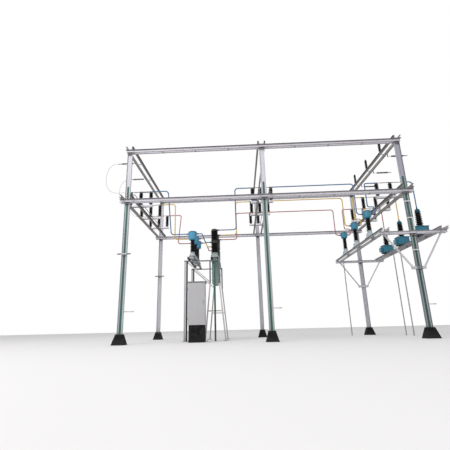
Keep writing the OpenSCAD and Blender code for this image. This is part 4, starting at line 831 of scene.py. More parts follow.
# Isolator posts and contacts
# Brown-black porcelain posts between cemented caps. The outer ones carry a contact
# block with two sprung fingers above and below the blade, and a clamp for the tube.
PORCELAIN_BROWN, PORCELAIN_EDGE = (0.006, 0.005, 0.006), (0.012, 0.010, 0.012)
PORCELAIN_DUST = (0.07, 0.066, 0.07)
CAST_GREY, CAST_DARK = (0.20, 0.20, 0.21), (0.11, 0.11, 0.115)
CAST_DULL, CAST_STAIN = (0.12, 0.12, 0.125), (0.05, 0.05, 0.05)
CEMENT_GREY, CEMENT_DARK = (0.22, 0.21, 0.20), (0.12, 0.115, 0.11)
POST_FOOT, POST_HEAD = 5.8225, 6.344
BLOCK_TOP, BLOCK_BOLT_REACH, BLOCK_THREAD = 6.418, 0.018, 0.010
TAP_LEVEL, CLAMP_AT, TUBE_CLAMP_RADIUS = 6.402, 0.0725, 0.031
CLAMP_EAR, EAR_SCREW = (0.028, 0.026, 0.010), 0.008
CEMENT_RADIUS, CEMENT_HEIGHT, CEMENT_SLOPE = 0.0575, 0.007, 0.005


def porcelain(name, foot=None, head=None, cap=None):
    """Glazed porcelain: a brown-black glaze with dust where it faces up. Above head and
    below foot, where these are given, it is cast metal, or the cap colour above head."""
    tree, shader, made = new_material(name)
    weather = use_group(tree, WEATHER, Patch_Scale=6.0)
    glaze = mixed(tree, weather["Mottle"], PORCELAIN_BROWN, PORCELAIN_EDGE)
    up = add(tree, "SeparateXYZ", in_0=add(tree, "NewGeometry").outputs["Normal"]).outputs[2]
    settled = times(tree, ramp(tree, up, 0.2, 0.9), 0.12)
    colour = mixed(tree, settled, glaze, PORCELAIN_DUST)
    rough = add(tree, "MapRange", in_0=settled, in_2=0.4, in_3=0.28, in_4=0.6).outputs[0]
    height = add(tree, "SeparateXYZ", in_0=add(tree, "TexCoord").outputs["Object"]).outputs[2]
    cast = mixed(tree, weather["Mottle"], CAST_GREY, CAST_DARK)
    for limit, operation, finish in ((foot, "LESS_THAN", cast), (head, "GREATER_THAN", cap or cast)):
        if limit is not None:
            metal = add(tree, "Math", operation=operation, in_0=height, in_1=limit).outputs[0]
            colour = mixed(tree, metal, colour, finish)
            rough = add(tree, "MapRange", in_0=metal, in_3=rough, in_4=0.5).outputs[0]
    finish_shader(tree, shader, colour, rough)
    shader.inputs["Specular IOR Level"].default_value = 0.12
    return made


GLAZE = porcelain("porcelain_glaze")
CASTING = zinc("contact_metal", CAST_GREY, CAST_DULL, CAST_STAIN, patch=8.0, crystals=140.0, shine=0.5)
CEMENT = matt_paint("cement", CEMENT_GREY, CEMENT_DARK, patch=20.0)
dress(GLAZE, "isolator_end_insulators")
dress(CASTING, "isolator_end_contacts")
outer_posts = np.concatenate([every(astride(x, gap), phase_ys, [0.0]) for x, gap in zip(SET_XS, POST_GAPS)])
outward = np.tile(np.repeat([[-1.0, 0, 0], [1.0, 0, 0]], len(phase_ys), 0), (len(SET_XS), 1))
block_bolts = np.concatenate([outer_posts + (s * BLOCK_BOLT_REACH, 0, BLOCK_TOP) for s in both])
ear_out = TUBE_CLAMP_RADIUS + CLAMP_EAR[1] * 0.35
ears = np.concatenate([
    outer_posts + outward * CLAMP_AT + (0, s * ear_out, TAP_LEVEL - CLAMP_EAR[2] / 2) for s in both
])
shell(
    "contact_bolts_and_ears",
    [placed(hexagonal(BLOCK_THREAD), block_bolts),
     placed(softened(*CLAMP_EAR), ears, along=(1, 0, 0)),
     placed(hexagonal(EAR_SCREW), ears + (0, 0, CLAMP_EAR[2]))],
    CASTING, "gantry",
)
cement = turned([
    (0, 0), (CEMENT_RADIUS, 0), (CEMENT_RADIUS, CEMENT_HEIGHT / 2),
    (CEMENT_RADIUS - CEMENT_SLOPE, CEMENT_HEIGHT), (0, CEMENT_HEIGHT),
])
shell(
    "post_cement",
    [placed(cement, outer_posts + (0, 0, POST_FOOT)),
     placed(cement, outer_posts + (0, 0, POST_HEAD), (0, 0, -1))],
    CEMENT, "gantry",
)

# Turning posts
# In each set one porcelain post a phase turns in its bearing. The blade is bolted in a
# hub on its cap, with a spring ring on either side, and its crank carries a nutted pin.
HUB_BOLT_REACH, HUB_BOLT_SIDE, HUB_THREAD = 0.050, 0.012, 0.008
CRANK_REACH, CRANK_TOP, CRANK_BOLT_BACK = 0.150, 5.8145, 0.050
PIN_THREAD, CRANK_THREAD = 0.014, 0.010
REST_TURN = -math.pi / 4
SPRING_REACH, SPRING_RADIUS, SPRING_WIDTH = 0.100, 0.019, 0.006

TURNING_POST = porcelain("turning_post", POST_FOOT, POST_HEAD)
dress(TURNING_POST, *[f"{side}_{phase}_rotor" for side in SETS for phase in PHASES])
crank_way = np.array([math.cos(REST_TURN), math.sin(REST_TURN), 0.0])
spring_ring = round_bar(SPRING_RADIUS, SPRING_WIDTH)
for x, side in zip(SET_XS, SETS):
    for phase, y in PHASE_YS.items():
        axis = np.array([x, y, 0.0])
        on_crank = axis + (0, 0, CRANK_TOP)
        hub = every(astride(x, HUB_BOLT_REACH), astride(y, HUB_BOLT_SIDE), [BLOCK_TOP])
        shell(
            f"{side}_{phase}_post_bolts",
            [placed(hexagonal(HUB_THREAD), hub),
             placed(hexagonal(PIN_THREAD), on_crank + crank_way * CRANK_REACH),
             placed(hexagonal(CRANK_THREAD), on_crank + crank_way * (CRANK_REACH - CRANK_BOLT_BACK)),
             placed(spring_ring, every(astride(x, SPRING_REACH), [y], [TAP_LEVEL]), (1, 0, 0)),
             placed(cement, axis + (0, 0, POST_FOOT)),
             placed(cement, axis + (0, 0, POST_HEAD), (0, 0, -1))],
            CASTING, f"{side}_{phase}_pole",
        )

# Gang drive
# Zinc-plated tie tubes on the crank pins and upright operating shafts in guide rings,
# with a lever and its knob to turn each set by hand. Screwed sleeves couple the shafts.
TIE_LEVEL, SLEEVE_STARTS = 5.7845, (-0.048, 0.034)
SLEEVE_RADIUS, SLEEVE_LONG, SLEEVE_EDGE = 0.0195, 0.014, 0.001
SHAFT_XS, SHAFT_Y = (COLUMN_XS[0], COLUMN_XS[1], 11.05), 0.190
LEVER_LEVEL, LEVER_REACH, LEVER_SCREW_REACH, KNOB_RADIUS, KNOB_ROWS = 1.170, 0.420, 0.033, 0.021, 11
COUPLING_LEVELS, COUPLING_RADIUS, COUPLING_LONG, COUPLING_EDGE = (2.70, 4.20), 0.028, 0.120, 0.003
COUPLING_SCREW_RISES = (0.03, 0.09)
GUIDE_LEVELS, GUIDE_HALF, GUIDE_BOLT_Y = (1.900, 3.500, 4.900), 0.026, 0.020
GUIDE_THICK, GUIDE_THREAD = 0.012, 0.010
SLEEVE_THREAD, COUPLING_THREAD, LEVER_THREAD, SHAFT_PIN_THREAD = 0.006, 0.008, 0.010, 0.012
DRIVE_PALE, DRIVE_DULL, DRIVE_STAIN = (0.48, 0.48, 0.50), (0.33, 0.33, 0.35), (0.16, 0.16, 0.16)
GRIP_BLACK, GRIP_FADED, GRIP_WORN = (0.03, 0.03, 0.032), (0.07, 0.07, 0.07), (0.12, 0.11, 0.10)

DRIVE_ZINC = zinc("drive_zinc", DRIVE_PALE, DRIVE_DULL, DRIVE_STAIN, patch=3.0, crystals=150.0, shine=0.5)
dress(DRIVE_ZINC, *[f"{side}_tie_tube" for side in SETS], *[f"{side}_operating_shaft" for side in SETS])
dress(BEAM_ZINC, "shaft_guides")
GRIP_RUBBER = brushed_paint("lever_grip", GRIP_BLACK, GRIP_FADED, GRIP_WORN, 0.6, chips=0.0)
sleeve = round_bar(SLEEVE_RADIUS, SLEEVE_LONG, SLEEVE_EDGE)
coupling = round_bar(COUPLING_RADIUS, COUPLING_LONG, COUPLING_EDGE)
knob_turn = np.linspace(-np.pi / 2, np.pi / 2, KNOB_ROWS)
knob = turned(KNOB_RADIUS * np.stack([np.cos(knob_turn), np.sin(knob_turn)], -1), corners=20)
knob[0, :, :2] = knob[-1, :, :2] = 0
for x, shaft_x, side in zip(SET_XS, SHAFT_XS, SETS):
    pins = every([x], phase_ys, [TIE_LEVEL]) + crank_way * CRANK_REACH
    sleeves = np.concatenate([pins + (0, start, 0) for start in SLEEVE_STARTS])
    shell(
        f"{side}_tie_clamps",
        [placed(sleeve, sleeves, (0, 1, 0)),
         placed(hexagonal(SLEEVE_THREAD), sleeves + (0, SLEEVE_LONG / 2, SLEEVE_RADIUS))],
        DRIVE_ZINC, f"{side}_tie",
    )
    foot = np.array([shaft_x, SHAFT_Y, 0.0])
    couplings = every([shaft_x], [SHAFT_Y], COUPLING_LEVELS)
    screws = np.concatenate([couplings + (0, 0, rise) for rise in COUPLING_SCREW_RISES])
    shell(
        f"{side}_shaft_fittings",
        [placed(coupling, couplings),
         placed(hexagonal(COUPLING_THREAD), screws + (0, -COUPLING_RADIUS, 0), (0, -1, 0)),
         placed(hexagonal(COUPLING_THREAD), screws + (0, COUPLING_RADIUS, 0), (0, 1, 0)),
         placed(hexagonal(LEVER_THREAD), foot + (0, -LEVER_SCREW_REACH, LEVER_LEVEL), (0, -1, 0)),
         placed(hexagonal(SHAFT_PIN_THREAD), foot + crank_way * CRANK_REACH + (0, 0, CRANK_TOP))],
        DRIVE_ZINC, f"{side}_shaft",
    )
    shell(
        f"{side}_lever_knob", [placed(knob, foot + (LEVER_REACH - KNOB_RADIUS, 0, LEVER_LEVEL))],
        GRIP_RUBBER, f"{side}_shaft",
    )
guide_spots = every(astride(SHAFT_XS, GUIDE_HALF), [GUIDE_BOLT_Y], GUIDE_LEVELS)
shell(
    "guide_bolts", [placed(hexagonal(GUIDE_THREAD), guide_spots + (0, 0, GUIDE_THICK))],
    BOLT_ZINC, "gantry",
)

# Breaker
# Three live-tank poles on a frame of angle steel with splayed legs. The flanges of
# each pole are bolted up with nuts all round, and the legs stand on anchored plates.
POLE_YS = (2.15, 3.05, 3.95)
DECK, POLE_BASE, POLE_MIDDLE, POLE_SHEDS = 3.500, 0.210, 0.130, 0.4325
FLANGE_RING, FLANGE_THICK, FLANGE_BOLTS, FLANGE_THREAD = 0.1405, 0.018, 8, 0.0085
LUG, LUG_X, LUG_Y, LUG_THREAD = (0.055, 0.050, 0.012), 0.135, 0.190, 0.014
PLATE_XS, PLATE_YS, ANCHOR_REACH, ANCHOR_TOP = 0.425, (1.95, 4.15), 0.078, 0.012
ANCHOR_THREAD, ANCHOR_STUB, FRAME_THREAD = 0.016, 0.020, 0.012
FRAME_FACES, LEG_X, CROSS_BOLT_LEVELS = ((1.920, -1), (4.180, 1)), 0.195, (3.315, 3.345)
TIE_BAR_LEVEL, TIE_BAR_X = 1.205, 0.310
POLE_PALE, POLE_FADED, POLE_WORN = (0.26, 0.32, 0.315), (0.33, 0.39, 0.385), (0.12, 0.14, 0.14)
POLE_BLACK, POLE_BLACK_FROM = (0.020, 0.020, 0.022), DECK + POLE_BASE + 0.005
FRAME_PALE, FRAME_DULL, FRAME_STAIN = (0.60, 0.585, 0.57), (0.46, 0.45, 0.44), (0.14, 0.14, 0.14)
FRAME_SHADED, SHADED_FROM = (0.06, 0.068, 0.07), 2.35
FRAME_DARK, DARK_FROM = (0.045, 0.06, 0.055), 3.36

POLE_GREY = brushed_paint("pole_grey", POLE_PALE, POLE_FADED, POLE_WORN, 0.45, wet=0.2)
retint(POLE_GREY, POLE_BLACK, ("z", "GREATER_THAN", POLE_BLACK_FROM), share=1.0)
BREAKER_ZINC = zinc("breaker_zinc", FRAME_PALE, FRAME_DULL, FRAME_STAIN, patch=2.0, splash=0.4)
retint(BREAKER_ZINC, FRAME_SHADED, ("z", "GREATER_THAN", SHADED_FROM), share=0.9)
retint(BREAKER_ZINC, FRAME_DARK, ("z", "GREATER_THAN", DARK_FROM))
dress(BREAKER_ZINC, "breaker_frame")
dress(POLE_GREY, "breaker_pole_metal")
dress(GLAZE, "breaker_insulators")
poles = np.array([[BREAKER_X, y, DECK] for y in POLE_YS])
mid_foot = POLE_BASE + POLE_SHEDS
mid_head = mid_foot + POLE_MIDDLE
cap_foot = mid_head + POLE_SHEDS
rises_up = (POLE_BASE, mid_head, cap_foot + FLANGE_THICK)
rises_down = (POLE_BASE - FLANGE_THICK, mid_foot, cap_foot)
bolts_up, bolts_down = (
    np.concatenate([ringed(poles + (0, 0, rise), FLANGE_RING, FLANGE_BOLTS) for rise in rises])
    for rises in (rises_up, rises_down)
)
lugs = every(astride(BREAKER_X, LUG_X), astride(POLE_YS, LUG_Y), [DECK])
shell(
    "pole_bolts_and_lugs",
    [placed(hexagonal(FLANGE_THREAD), bolts_up), placed(hexagonal(FLANGE_THREAD), bolts_down, (0, 0, -1)),
     placed(softened(*LUG), lugs, along=(0, 1, 0)), placed(hexagonal(LUG_THREAD), lugs + (0, 0, LUG[2]))],
    POLE_GREY, "gantry",
)
anchors = every(
    astride(astride(BREAKER_X, PLATE_XS), ANCHOR_REACH), astride(PLATE_YS, ANCHOR_REACH), [ANCHOR_TOP])
frame_grids = [placed(hexagonal(ANCHOR_THREAD, ANCHOR_STUB), anchors)]
for y, way in FRAME_FACES:
    spots = np.concatenate([
        every(astride(BREAKER_X, LEG_X), [y], CROSS_BOLT_LEVELS),
        every(astride(BREAKER_X, TIE_BAR_X), [y], [TIE_BAR_LEVEL]),
    ])
    frame_grids.append(placed(hexagonal(FRAME_THREAD), spots, (0, way, 0)))
shell("breaker_frame_bolts", frame_grids, BOLT_ZINC, "gantry")

# Mechanism housing
# A painted sheet housing with two raised doors on each long side, hung on pin hinges,
# kept by turn handles and sheltered by a folded rain lip. Each end has a screwed cover.
HOUSING_FOOT, HOUSING_HEIGHT, BAY_MIDDLE = 2.420, 0.940, ROW_YS[1] / 2
HOUSING_HALF_X, HOUSING_HALF_Y, DOOR_PROUD = 0.165, 0.450, 0.006
DOOR_EDGE, DOOR_LONG = 0.0175, 0.3975
HINGE, HINGE_LEVELS, HINGE_PROUD, HINGE_OUT = (0.010, 0.060), (2.55, 2.86, 3.17), 0.004, 0.008
HANDLE_PLATE, HANDLE_BAR = (0.030, 0.090, 0.006), (0.014, 0.070, 0.012)
HANDLE_LEVEL, HANDLE_IN = 2.86, 0.045
COVER_SCREW_X, COVER_SCREW_LEVELS, COVER_THREAD = 0.115, (2.475, 2.69, 2.91, 3.13, 3.285), 0.006
LIP, LIP_DROP = (0.910, 0.016, 0.012), 0.045
HOUSING_PALE, HOUSING_FADED, HOUSING_WORN = (0.21, 0.275, 0.265), (0.27, 0.33, 0.32), (0.10, 0.12, 0.12)

HOUSING_GREEN = brushed_paint("housing_green", HOUSING_PALE, HOUSING_FADED, HOUSING_WORN, 0.45, wet=0.15)
dress(HOUSING_GREEN, "breaker_mechanism")
hinge = round_bar(*HINGE, corners=16)
lip_level = HOUSING_FOOT + HOUSING_HEIGHT - LIP_DROP
house_grids = []
for way in both:
    face = BREAKER_X + way * (HOUSING_HALF_X + DOOR_PROUD)
    hinge_x = BREAKER_X + way * (HOUSING_HALF_X + HINGE_PROUD)
    for end in both:
        hinge_y = BAY_MIDDLE + end * (DOOR_EDGE + DOOR_LONG + HINGE_OUT)
        handle_y = BAY_MIDDLE + end * (DOOR_EDGE + HANDLE_IN)
        bar_x = face + way * HANDLE_PLATE[2]
        house_grids += [
            placed(hinge, every([hinge_x], [hinge_y], HINGE_LEVELS)),
            placed(softened(*HANDLE_PLATE), (face, handle_y, HANDLE_LEVEL), (way, 0, 0), (0, 1, 0)),
            placed(softened(*HANDLE_BAR), (bar_x, handle_y, HANDLE_LEVEL), (way, 0, 0), (0, 1, 0)),
        ]
    end_face = BAY_MIDDLE + way * (HOUSING_HALF_Y + DOOR_PROUD)
    cover_screws = every(astride(BREAKER_X, COVER_SCREW_X), [end_face], COVER_SCREW_LEVELS)
    lip_spot = (BREAKER_X + way * HOUSING_HALF_X, BAY_MIDDLE, lip_level)
    house_grids.append(placed(hexagonal(COVER_THREAD), cover_screws, (0, way, 0)))
    house_grids.append(placed(softened(*LIP), lip_spot, (way, 0, 0), (0, 1, 0)))
shell("housing_hinges_and_handles", house_grids, HOUSING_GREEN, "gantry")

# Current transformers
# Teal enamelled head tanks on ribbed porcelain and pale cast feet. Lids, bosses and
# feet are bolted; the three by the breaker have a dark gasket round the foot.
LEFT_CT, LEFT_DECK, LEFT_HEAD, LEFT_HEAD_HEIGHT, LEFT_TAP = 2.35, 3.47, 0.185, 0.430, 0.300
RIGHT_CT, RIGHT_DECK, RIGHT_HEAD, RIGHT_HEAD_HEIGHT, RIGHT_TAP = 9.90, 3.96, 0.158, 0.350, 0.190
STEM, BOSS_RUN, BOSS_RING, RIM_LEVEL = 0.850, 0.030, 0.039, 0.072
RIM_DROP, RIM_BOLTS, RIM_OVER, RIM_THREAD, BOSS_THREAD = 0.048, 12, 0.001, 0.010, 0.006
CT_PLATE_TOP, CT_PLATE_REACH, CT_FOOT_TOP, CT_FOOT_RING, CT_FOOT_BOLTS = 0.020, 0.148, 0.300, 0.093, 8
CT_PLATE_THREAD, CT_PLATE_STUB, CT_FOOT_THREAD = 0.016, 0.006, 0.010
GASKET = ((0, 0), (0.1575, 0), (0.1600, 0.003), (0.1600, 0.027), (0.1575, 0.030), (0, 0.030))
GASKET_RISE = 0.070
TEAL_BASE, TEAL_FADED, TEAL_WORN = (0.048, 0.273, 0.435), (0.076, 0.324, 0.484), (0.03, 0.10, 0.13)
TEAL_RIGHT, TEAL_RIM = (0.026, 0.195, 0.295), (0.020, 0.095, 0.130)
FOOT_PALE, FOOT_FADED, FOOT_WORN = (0.40, 0.46, 0.50), (0.48, 0.54, 0.57), (0.18, 0.19, 0.20)
RUBBER_DARK, RUBBER_FADED, RUBBER_WORN = (0.035, 0.04, 0.045), (0.07, 0.075, 0.08), (0.12, 0.12, 0.12)

TEAL = brushed_paint("transformer_teal", TEAL_BASE, TEAL_FADED, TEAL_WORN, 0.38, wet=0.15)
left_rim, right_rim = (
    ("z", "GREATER_THAN", deck + STEM + height - RIM_LEVEL)
    for deck, height in ((LEFT_DECK, LEFT_HEAD_HEIGHT), (RIGHT_DECK, RIGHT_HEAD_HEIGHT))
)
retint(TEAL, TEAL_RIGHT, ON_RIGHT)
retint(TEAL, TEAL_RIM, ON_LEFT, left_rim)
retint(TEAL, TEAL_RIM, right_rim)
FOOT_GREY = brushed_paint("foot_grey", FOOT_PALE, FOOT_FADED, FOOT_WORN, 0.45, wet=0.2)
RUBBER = brushed_paint("gasket_rubber", RUBBER_DARK, RUBBER_FADED, RUBBER_WORN, 0.7, chips=0.0, coat=0.0)
dress(TEAL, "transformer_heads")
dress(FOOT_GREY, "transformer_feet")
dress(GLAZE, "transformer_insulators")
left_cts = np.array([[LEFT_CT, y, LEFT_DECK] for y in POLE_YS])
right_cts = np.array([[RIGHT_CT, y, RIGHT_DECK] for y in phase_ys])
plate_corners = every(both * CT_PLATE_REACH, both * CT_PLATE_REACH, [CT_PLATE_TOP])
boss_turn = np.pi / 4 + np.pi / 2 * np.arange(4)
head_grids, foot_grids = [], []
for spots, radius, height, tap in (
    (left_cts, LEFT_HEAD, LEFT_HEAD_HEIGHT, LEFT_TAP), (right_cts, RIGHT_HEAD, RIGHT_HEAD_HEIGHT, RIGHT_TAP),
):
    rim = ringed(spots + (0, 0, STEM + height - RIM_DROP), radius + RIM_OVER, RIM_BOLTS)
    head_grids.append(placed(hexagonal(RIM_THREAD), rim))
    for way in both:
        out = np.full(4, way * (radius + BOSS_RUN))
        boss = np.stack([out, BOSS_RING * np.cos(boss_turn), BOSS_RING * np.sin(boss_turn) + STEM + tap], -1)
        head_grids.append(placed(hexagonal(BOSS_THREAD), (spots[:, None] + boss).reshape(-1, 3), (way, 0, 0)))
    corners = (spots[:, None] + plate_corners).reshape(-1, 3)
    foot_ring = ringed(spots + (0, 0, CT_FOOT_TOP), CT_FOOT_RING, CT_FOOT_BOLTS)
    foot_grids.append(placed(hexagonal(CT_PLATE_THREAD, CT_PLATE_STUB), corners))
    foot_grids.append(placed(hexagonal(CT_FOOT_THREAD), foot_ring))
shell("transformer_head_bolts", head_grids, TEAL, "gantry")
shell("transformer_foot_bolts", foot_grids, BOLT_ZINC, "gantry")
shell(
    "foot_gaskets", [placed(turned(GASKET, corners=48), left_cts + (0, 0, CT_PLATE_TOP + GASKET_RISE))],
    RUBBER, "gantry",
)

# Transformer stand
# Channel legs on anchored plates carry two rails; angles and a sloping brace run
# across to the breaker's frame, bolted at each end. The legs' hollow sides are painted
# near black as painted shade.
STAND_FRONTS, STAND_PLATE_XS, STAND_PLATE_Y = ((1.950, -1), (4.150, 1)), (1.995, 2.195), 0.115
RAIL_BOLT_XS, RAIL_BOLT_LEVEL, RAIL_FACE_OUT = (2.228, 2.472), 3.378, 0.012
BRACE_ENDS, BRACE_FACE_IN = ((2.200, 3.252), (3.085, 2.456)), 0.030
STAND_ANCHOR_THREAD, STAND_ANCHOR_STUB, STAND_THREAD = 0.014, 0.016, 0.012
STAND_PALE, STAND_DULL, STAND_STAIN = (0.56, 0.55, 0.575), (0.42, 0.41, 0.43), (0.14, 0.14, 0.14)
RAIL_DARK, HOLLOW_SHADE = (0.08, 0.08, 0.085), (0.010, 0.010, 0.012)
RAILS_FROM, SHADED_HOLLOW_XS = 3.31, (2.115, 2.171)

STAND_ZINC = zinc("stand_zinc", STAND_PALE, STAND_DULL, STAND_STAIN, patch=2.0, splash=0.4)
retint(STAND_ZINC, RAIL_DARK, ("z", "GREATER_THAN", RAILS_FROM), share=0.85)
# Painted shade: the legs' hollow sides below the rails are near black
retint(STAND_ZINC, HOLLOW_SHADE, *between("x", *SHADED_HOLLOW_XS), ("z", "LESS_THAN", RAILS_FROM), share=1.0)
dress(STAND_ZINC, "transformer_stand")
stand_grids = []
for y, way in STAND_FRONTS:
    stand_anchors = every(STAND_PLATE_XS, astride(y, STAND_PLATE_Y), [ANCHOR_TOP])
    rail_bolts = every(RAIL_BOLT_XS, [y + RAIL_FACE_OUT], [RAIL_BOLT_LEVEL])
    brace_bolts = [(x, y - way * BRACE_FACE_IN, z) for x, z in BRACE_ENDS]
    stand_grids += [
        placed(hexagonal(STAND_ANCHOR_THREAD, STAND_ANCHOR_STUB), stand_anchors),
        placed(hexagonal(STAND_THREAD), rail_bolts),
        placed(hexagonal(STAND_THREAD), brace_bolts, (0, -way, 0)),
    ]
shell("stand_bolts", stand_grids, BOLT_ZINC, "gantry")

# Voltage transformers
# Teal tanks on dark bearers, each with a screwed lid, two lifting eyes, a drain plug
# and a paler terminal box. The bushing ends in a dark teal cap and its adaptor.
VT_X, VT_HALF_W, VT_HALF_D, VT_HEIGHT = 12.000, 0.260, 0.200, 0.400
LID_SCREWS_X, LID_SCREWS_Y = (-0.24, -0.12, 0.0, 0.12, 0.24), 0.207
LID_ENDS_X, LID_ENDS_Y, LID_THREAD = VT_HALF_W + 0.006, (-0.10, 0.0, 0.10), 0.010
EYE_RADIUS, EYE_WIRE, EYE_X, EYE_STEPS = 0.022, 0.005, 0.215, 24
DRAIN_LEVEL, BEARER_HEIGHT, DRAIN_SCREW, DRAIN_NOSE = 0.085, 0.045, (0.022, 0.008), (0.013, 0.030)
BUSHING_CAP, BUSHING_RING, BUSHING_BOLTS, BUSHING_THREAD = 4.980, 0.118, 8, 0.008
BUSHING_FLANGE, FLANGE_TOP = ((0, 0), (0.135, 0), (0.135, 0.012), (0.110, 0.012), (0, 0.012)), 0.012
BOX_OUT, BOX_HALF, BOX_LOW, BOX_HIGH, BOX_THREAD = 0.370, 0.120, 0.090, 0.290, 0.006
COVER_IN, COVER_THICK, COVER_CORNER, COVER_EDGE, COVER_SCREW_IN = 0.02, 0.006, 0.012, 0.002, 0.022
GLAND = ((0, 0), (0.016, 0), (0.016, 0.014), (0.012, 0.018), (0.012, 0.032), (0, 0.032))
GLAND_X, GLAND_Y, WIRE_CORNERS = -0.315, 0.05, 8
TANK_TEAL, TANK_FADED, BEARER_BLACK = (0.012, 0.148, 0.225), (0.028, 0.215, 0.305), (0.03, 0.035, 0.04)
BOX_TEAL, BOX_FADED, CAP_TEAL = (0.10, 0.28, 0.32), (0.17, 0.34, 0.38), (0.022, 0.105, 0.135)


def round_wire(radius):
    """A wire's round section: points (radius cos a, radius sin a) at equal angles."""
    a = 2 * np.pi * np.arange(WIRE_CORNERS) / WIRE_CORNERS
    return radius * np.stack([np.cos(a), np.sin(a)], -1)


VT_PAINT = brushed_paint("tank_teal", TANK_TEAL, TANK_FADED, TEAL_WORN, 0.4, coat=0.05, wet=0.2)
retint(VT_PAINT, BEARER_BLACK, ("z", "LESS_THAN", RIGHT_DECK + BEARER_HEIGHT), share=1.0)
dress(VT_PAINT, "voltage_transformer_tanks")
dress(porcelain("capped_bushing", head=BUSHING_CAP, cap=CAP_TEAL), "voltage_transformer_bushings")
vts = np.array([[VT_X, y, RIGHT_DECK] for y in phase_ys])
lid_ring = np.concatenate([
    every(LID_SCREWS_X, both * LID_SCREWS_Y, [VT_HEIGHT]),
    every(both * LID_ENDS_X, LID_ENDS_Y, [VT_HEIGHT]),
])
circle = np.linspace(0, 2 * np.pi, EYE_STEPS + 1)
eye_path = np.stack([EYE_RADIUS * np.cos(circle), 0 * circle, EYE_RADIUS * np.sin(circle)], -1)
eye = carried(eye_path, round_wire(EYE_WIRE), (0, 1, 0))
eye_spots = np.concatenate([vts + (side * EYE_X, 0, VT_HEIGHT + EYE_RADIUS) for side in both])
plug = turned([
    (0, 0), (DRAIN_SCREW[0], 0), DRAIN_SCREW, (DRAIN_NOSE[0], DRAIN_SCREW[1]), DRAIN_NOSE, (0, DRAIN_NOSE[1]),
], corners=16)
bushing_ring = ringed(vts + (0, 0, VT_HEIGHT + FLANGE_TOP), BUSHING_RING, BUSHING_BOLTS)
shell(
    "tank_lid_screws_and_eyes",
    [placed(hexagonal(LID_THREAD), (vts[:, None] + lid_ring).reshape(-1, 3)),
     placed(eye, eye_spots),
     placed(plug, vts + (0, -VT_HALF_D, DRAIN_LEVEL), (0, -1, 0)),
     placed(turned(BUSHING_FLANGE, corners=32), vts + (0, 0, VT_HEIGHT)),
     placed(hexagonal(BUSHING_THREAD), bushing_ring)],
    VT_PAINT, "gantry",
)
cover_w, cover_h = 2 * BOX_HALF - COVER_IN, BOX_HIGH - BOX_LOW - COVER_IN
cover = softened(cover_w, cover_h, COVER_THICK, COVER_CORNER, COVER_EDGE)
cover_screws = every(
    [-BOX_OUT - COVER_THICK], both * (BOX_HALF - COVER_SCREW_IN),
    [BOX_LOW + COVER_SCREW_IN, BOX_HIGH - COVER_SCREW_IN],
)
gland_spots = np.concatenate([vts + (GLAND_X, side * GLAND_Y, BOX_LOW) for side in both])
shell(
    "terminal_box_covers",
    [placed(cover, vts - (BOX_OUT, 0, -(BOX_LOW + BOX_HIGH) / 2), (-1, 0, 0), (0, 1, 0)),
     placed(hexagonal(BOX_THREAD), (vts[:, None] + cover_screws).reshape(-1, 3), (-1, 0, 0)),
     placed(turned(GLAND, corners=12), gland_spots, (0, 0, -1))],
    brushed_paint("box_teal", BOX_TEAL, BOX_FADED, TEAL_WORN, 0.42), "gantry",
)

# Kiosk
# A powder-coated sheet cabinet, warm light grey, on its black plinth. The door has a
# raised panel and a lock plate by its handle, and the sides have pressed louvres.
KIOSK_X, KIOSK_Y, KIOSK_Z = (2.360, 3.020), (0.820, 1.300), (0.640, 2.260)
DOOR_FACE, DOOR_RIM, PANEL_PROUD, PANEL_CORNER = 0.7975, 0.030, 0.004, 0.020
HOOD_ROWS, HOOD_CORNER = ((0.300, 0.026, 0), (0.296, 0.0195, 0.006), (0.288, 0.0104, 0.010)), 0.012
LOUVRE_PITCH, LOUVRES, LOUVRE_FOOTS = 0.045, 6, (0.810, 1.840)
LOCK_X, LOCK_LEVEL, LOCK_DROP, LOCK_PLATE = 2.960, 1.510, 0.080, (0.044, 0.190, 0.004)
LOCK_BARREL = ((0, 0), (0.011, 0), (0.011, 0.005), (0.009, 0.006), (0, 0.006))
ROOF_SCREWS, ROOF_SCREW_IN, ROOF_SCREW_LEVEL, ROOF_OVER, ROOF_THREAD = 4, 0.05, 2.282, 0.035, 0.006
KIOSK_PALE, KIOSK_FADED, KIOSK_WORN = (0.42, 0.412, 0.430), (0.385, 0.378, 0.390), (0.31, 0.30, 0.29)
ROOF_PALE, ROOF_FADED, ROOF_WORN = (0.13, 0.122, 0.128), (0.17, 0.158, 0.163), (0.15, 0.15, 0.15)

KIOSK_GREY = brushed_paint(
    "kiosk_grey", KIOSK_PALE, KIOSK_FADED, KIOSK_WORN, 0.45, patch=1.2, chips=0.1, wet=0.1)
dress(KIOSK_GREY, "kiosk_cabinet", "kiosk_door")
dress(brushed_paint("roof_grey", ROOF_PALE, ROOF_FADED, ROOF_WORN, 0.5, chips=0.1), "kiosk_roof")
louvre_levels = np.concatenate([foot + LOUVRE_PITCH * np.arange(LOUVRES) for foot in LOUVRE_FOOTS])
roof_xs = np.linspace(KIOSK_X[0] + ROOF_SCREW_IN, KIOSK_X[1] - ROOF_SCREW_IN, ROOF_SCREWS)
hood = rounded_rows(HOOD_ROWS, HOOD_CORNER)
kiosk_grids = []
for way, side_x, roof_y in zip((-1, 1), KIOSK_X, (KIOSK_Y[0] - ROOF_OVER, KIOSK_Y[1] + ROOF_OVER)):
    louvre_spots = every([side_x], [sum(KIOSK_Y) / 2], louvre_levels)
    kiosk_grids.append(placed(hood, louvre_spots, (way, 0, 0), (0, 1, 0)))
    roof_spots = every(roof_xs, [roof_y], [ROOF_SCREW_LEVEL])
    kiosk_grids.append(placed(hexagonal(ROOF_THREAD), roof_spots, (0, way, 0)))
shell("kiosk_louvres_and_screws", kiosk_grids, KIOSK_GREY, "gantry")
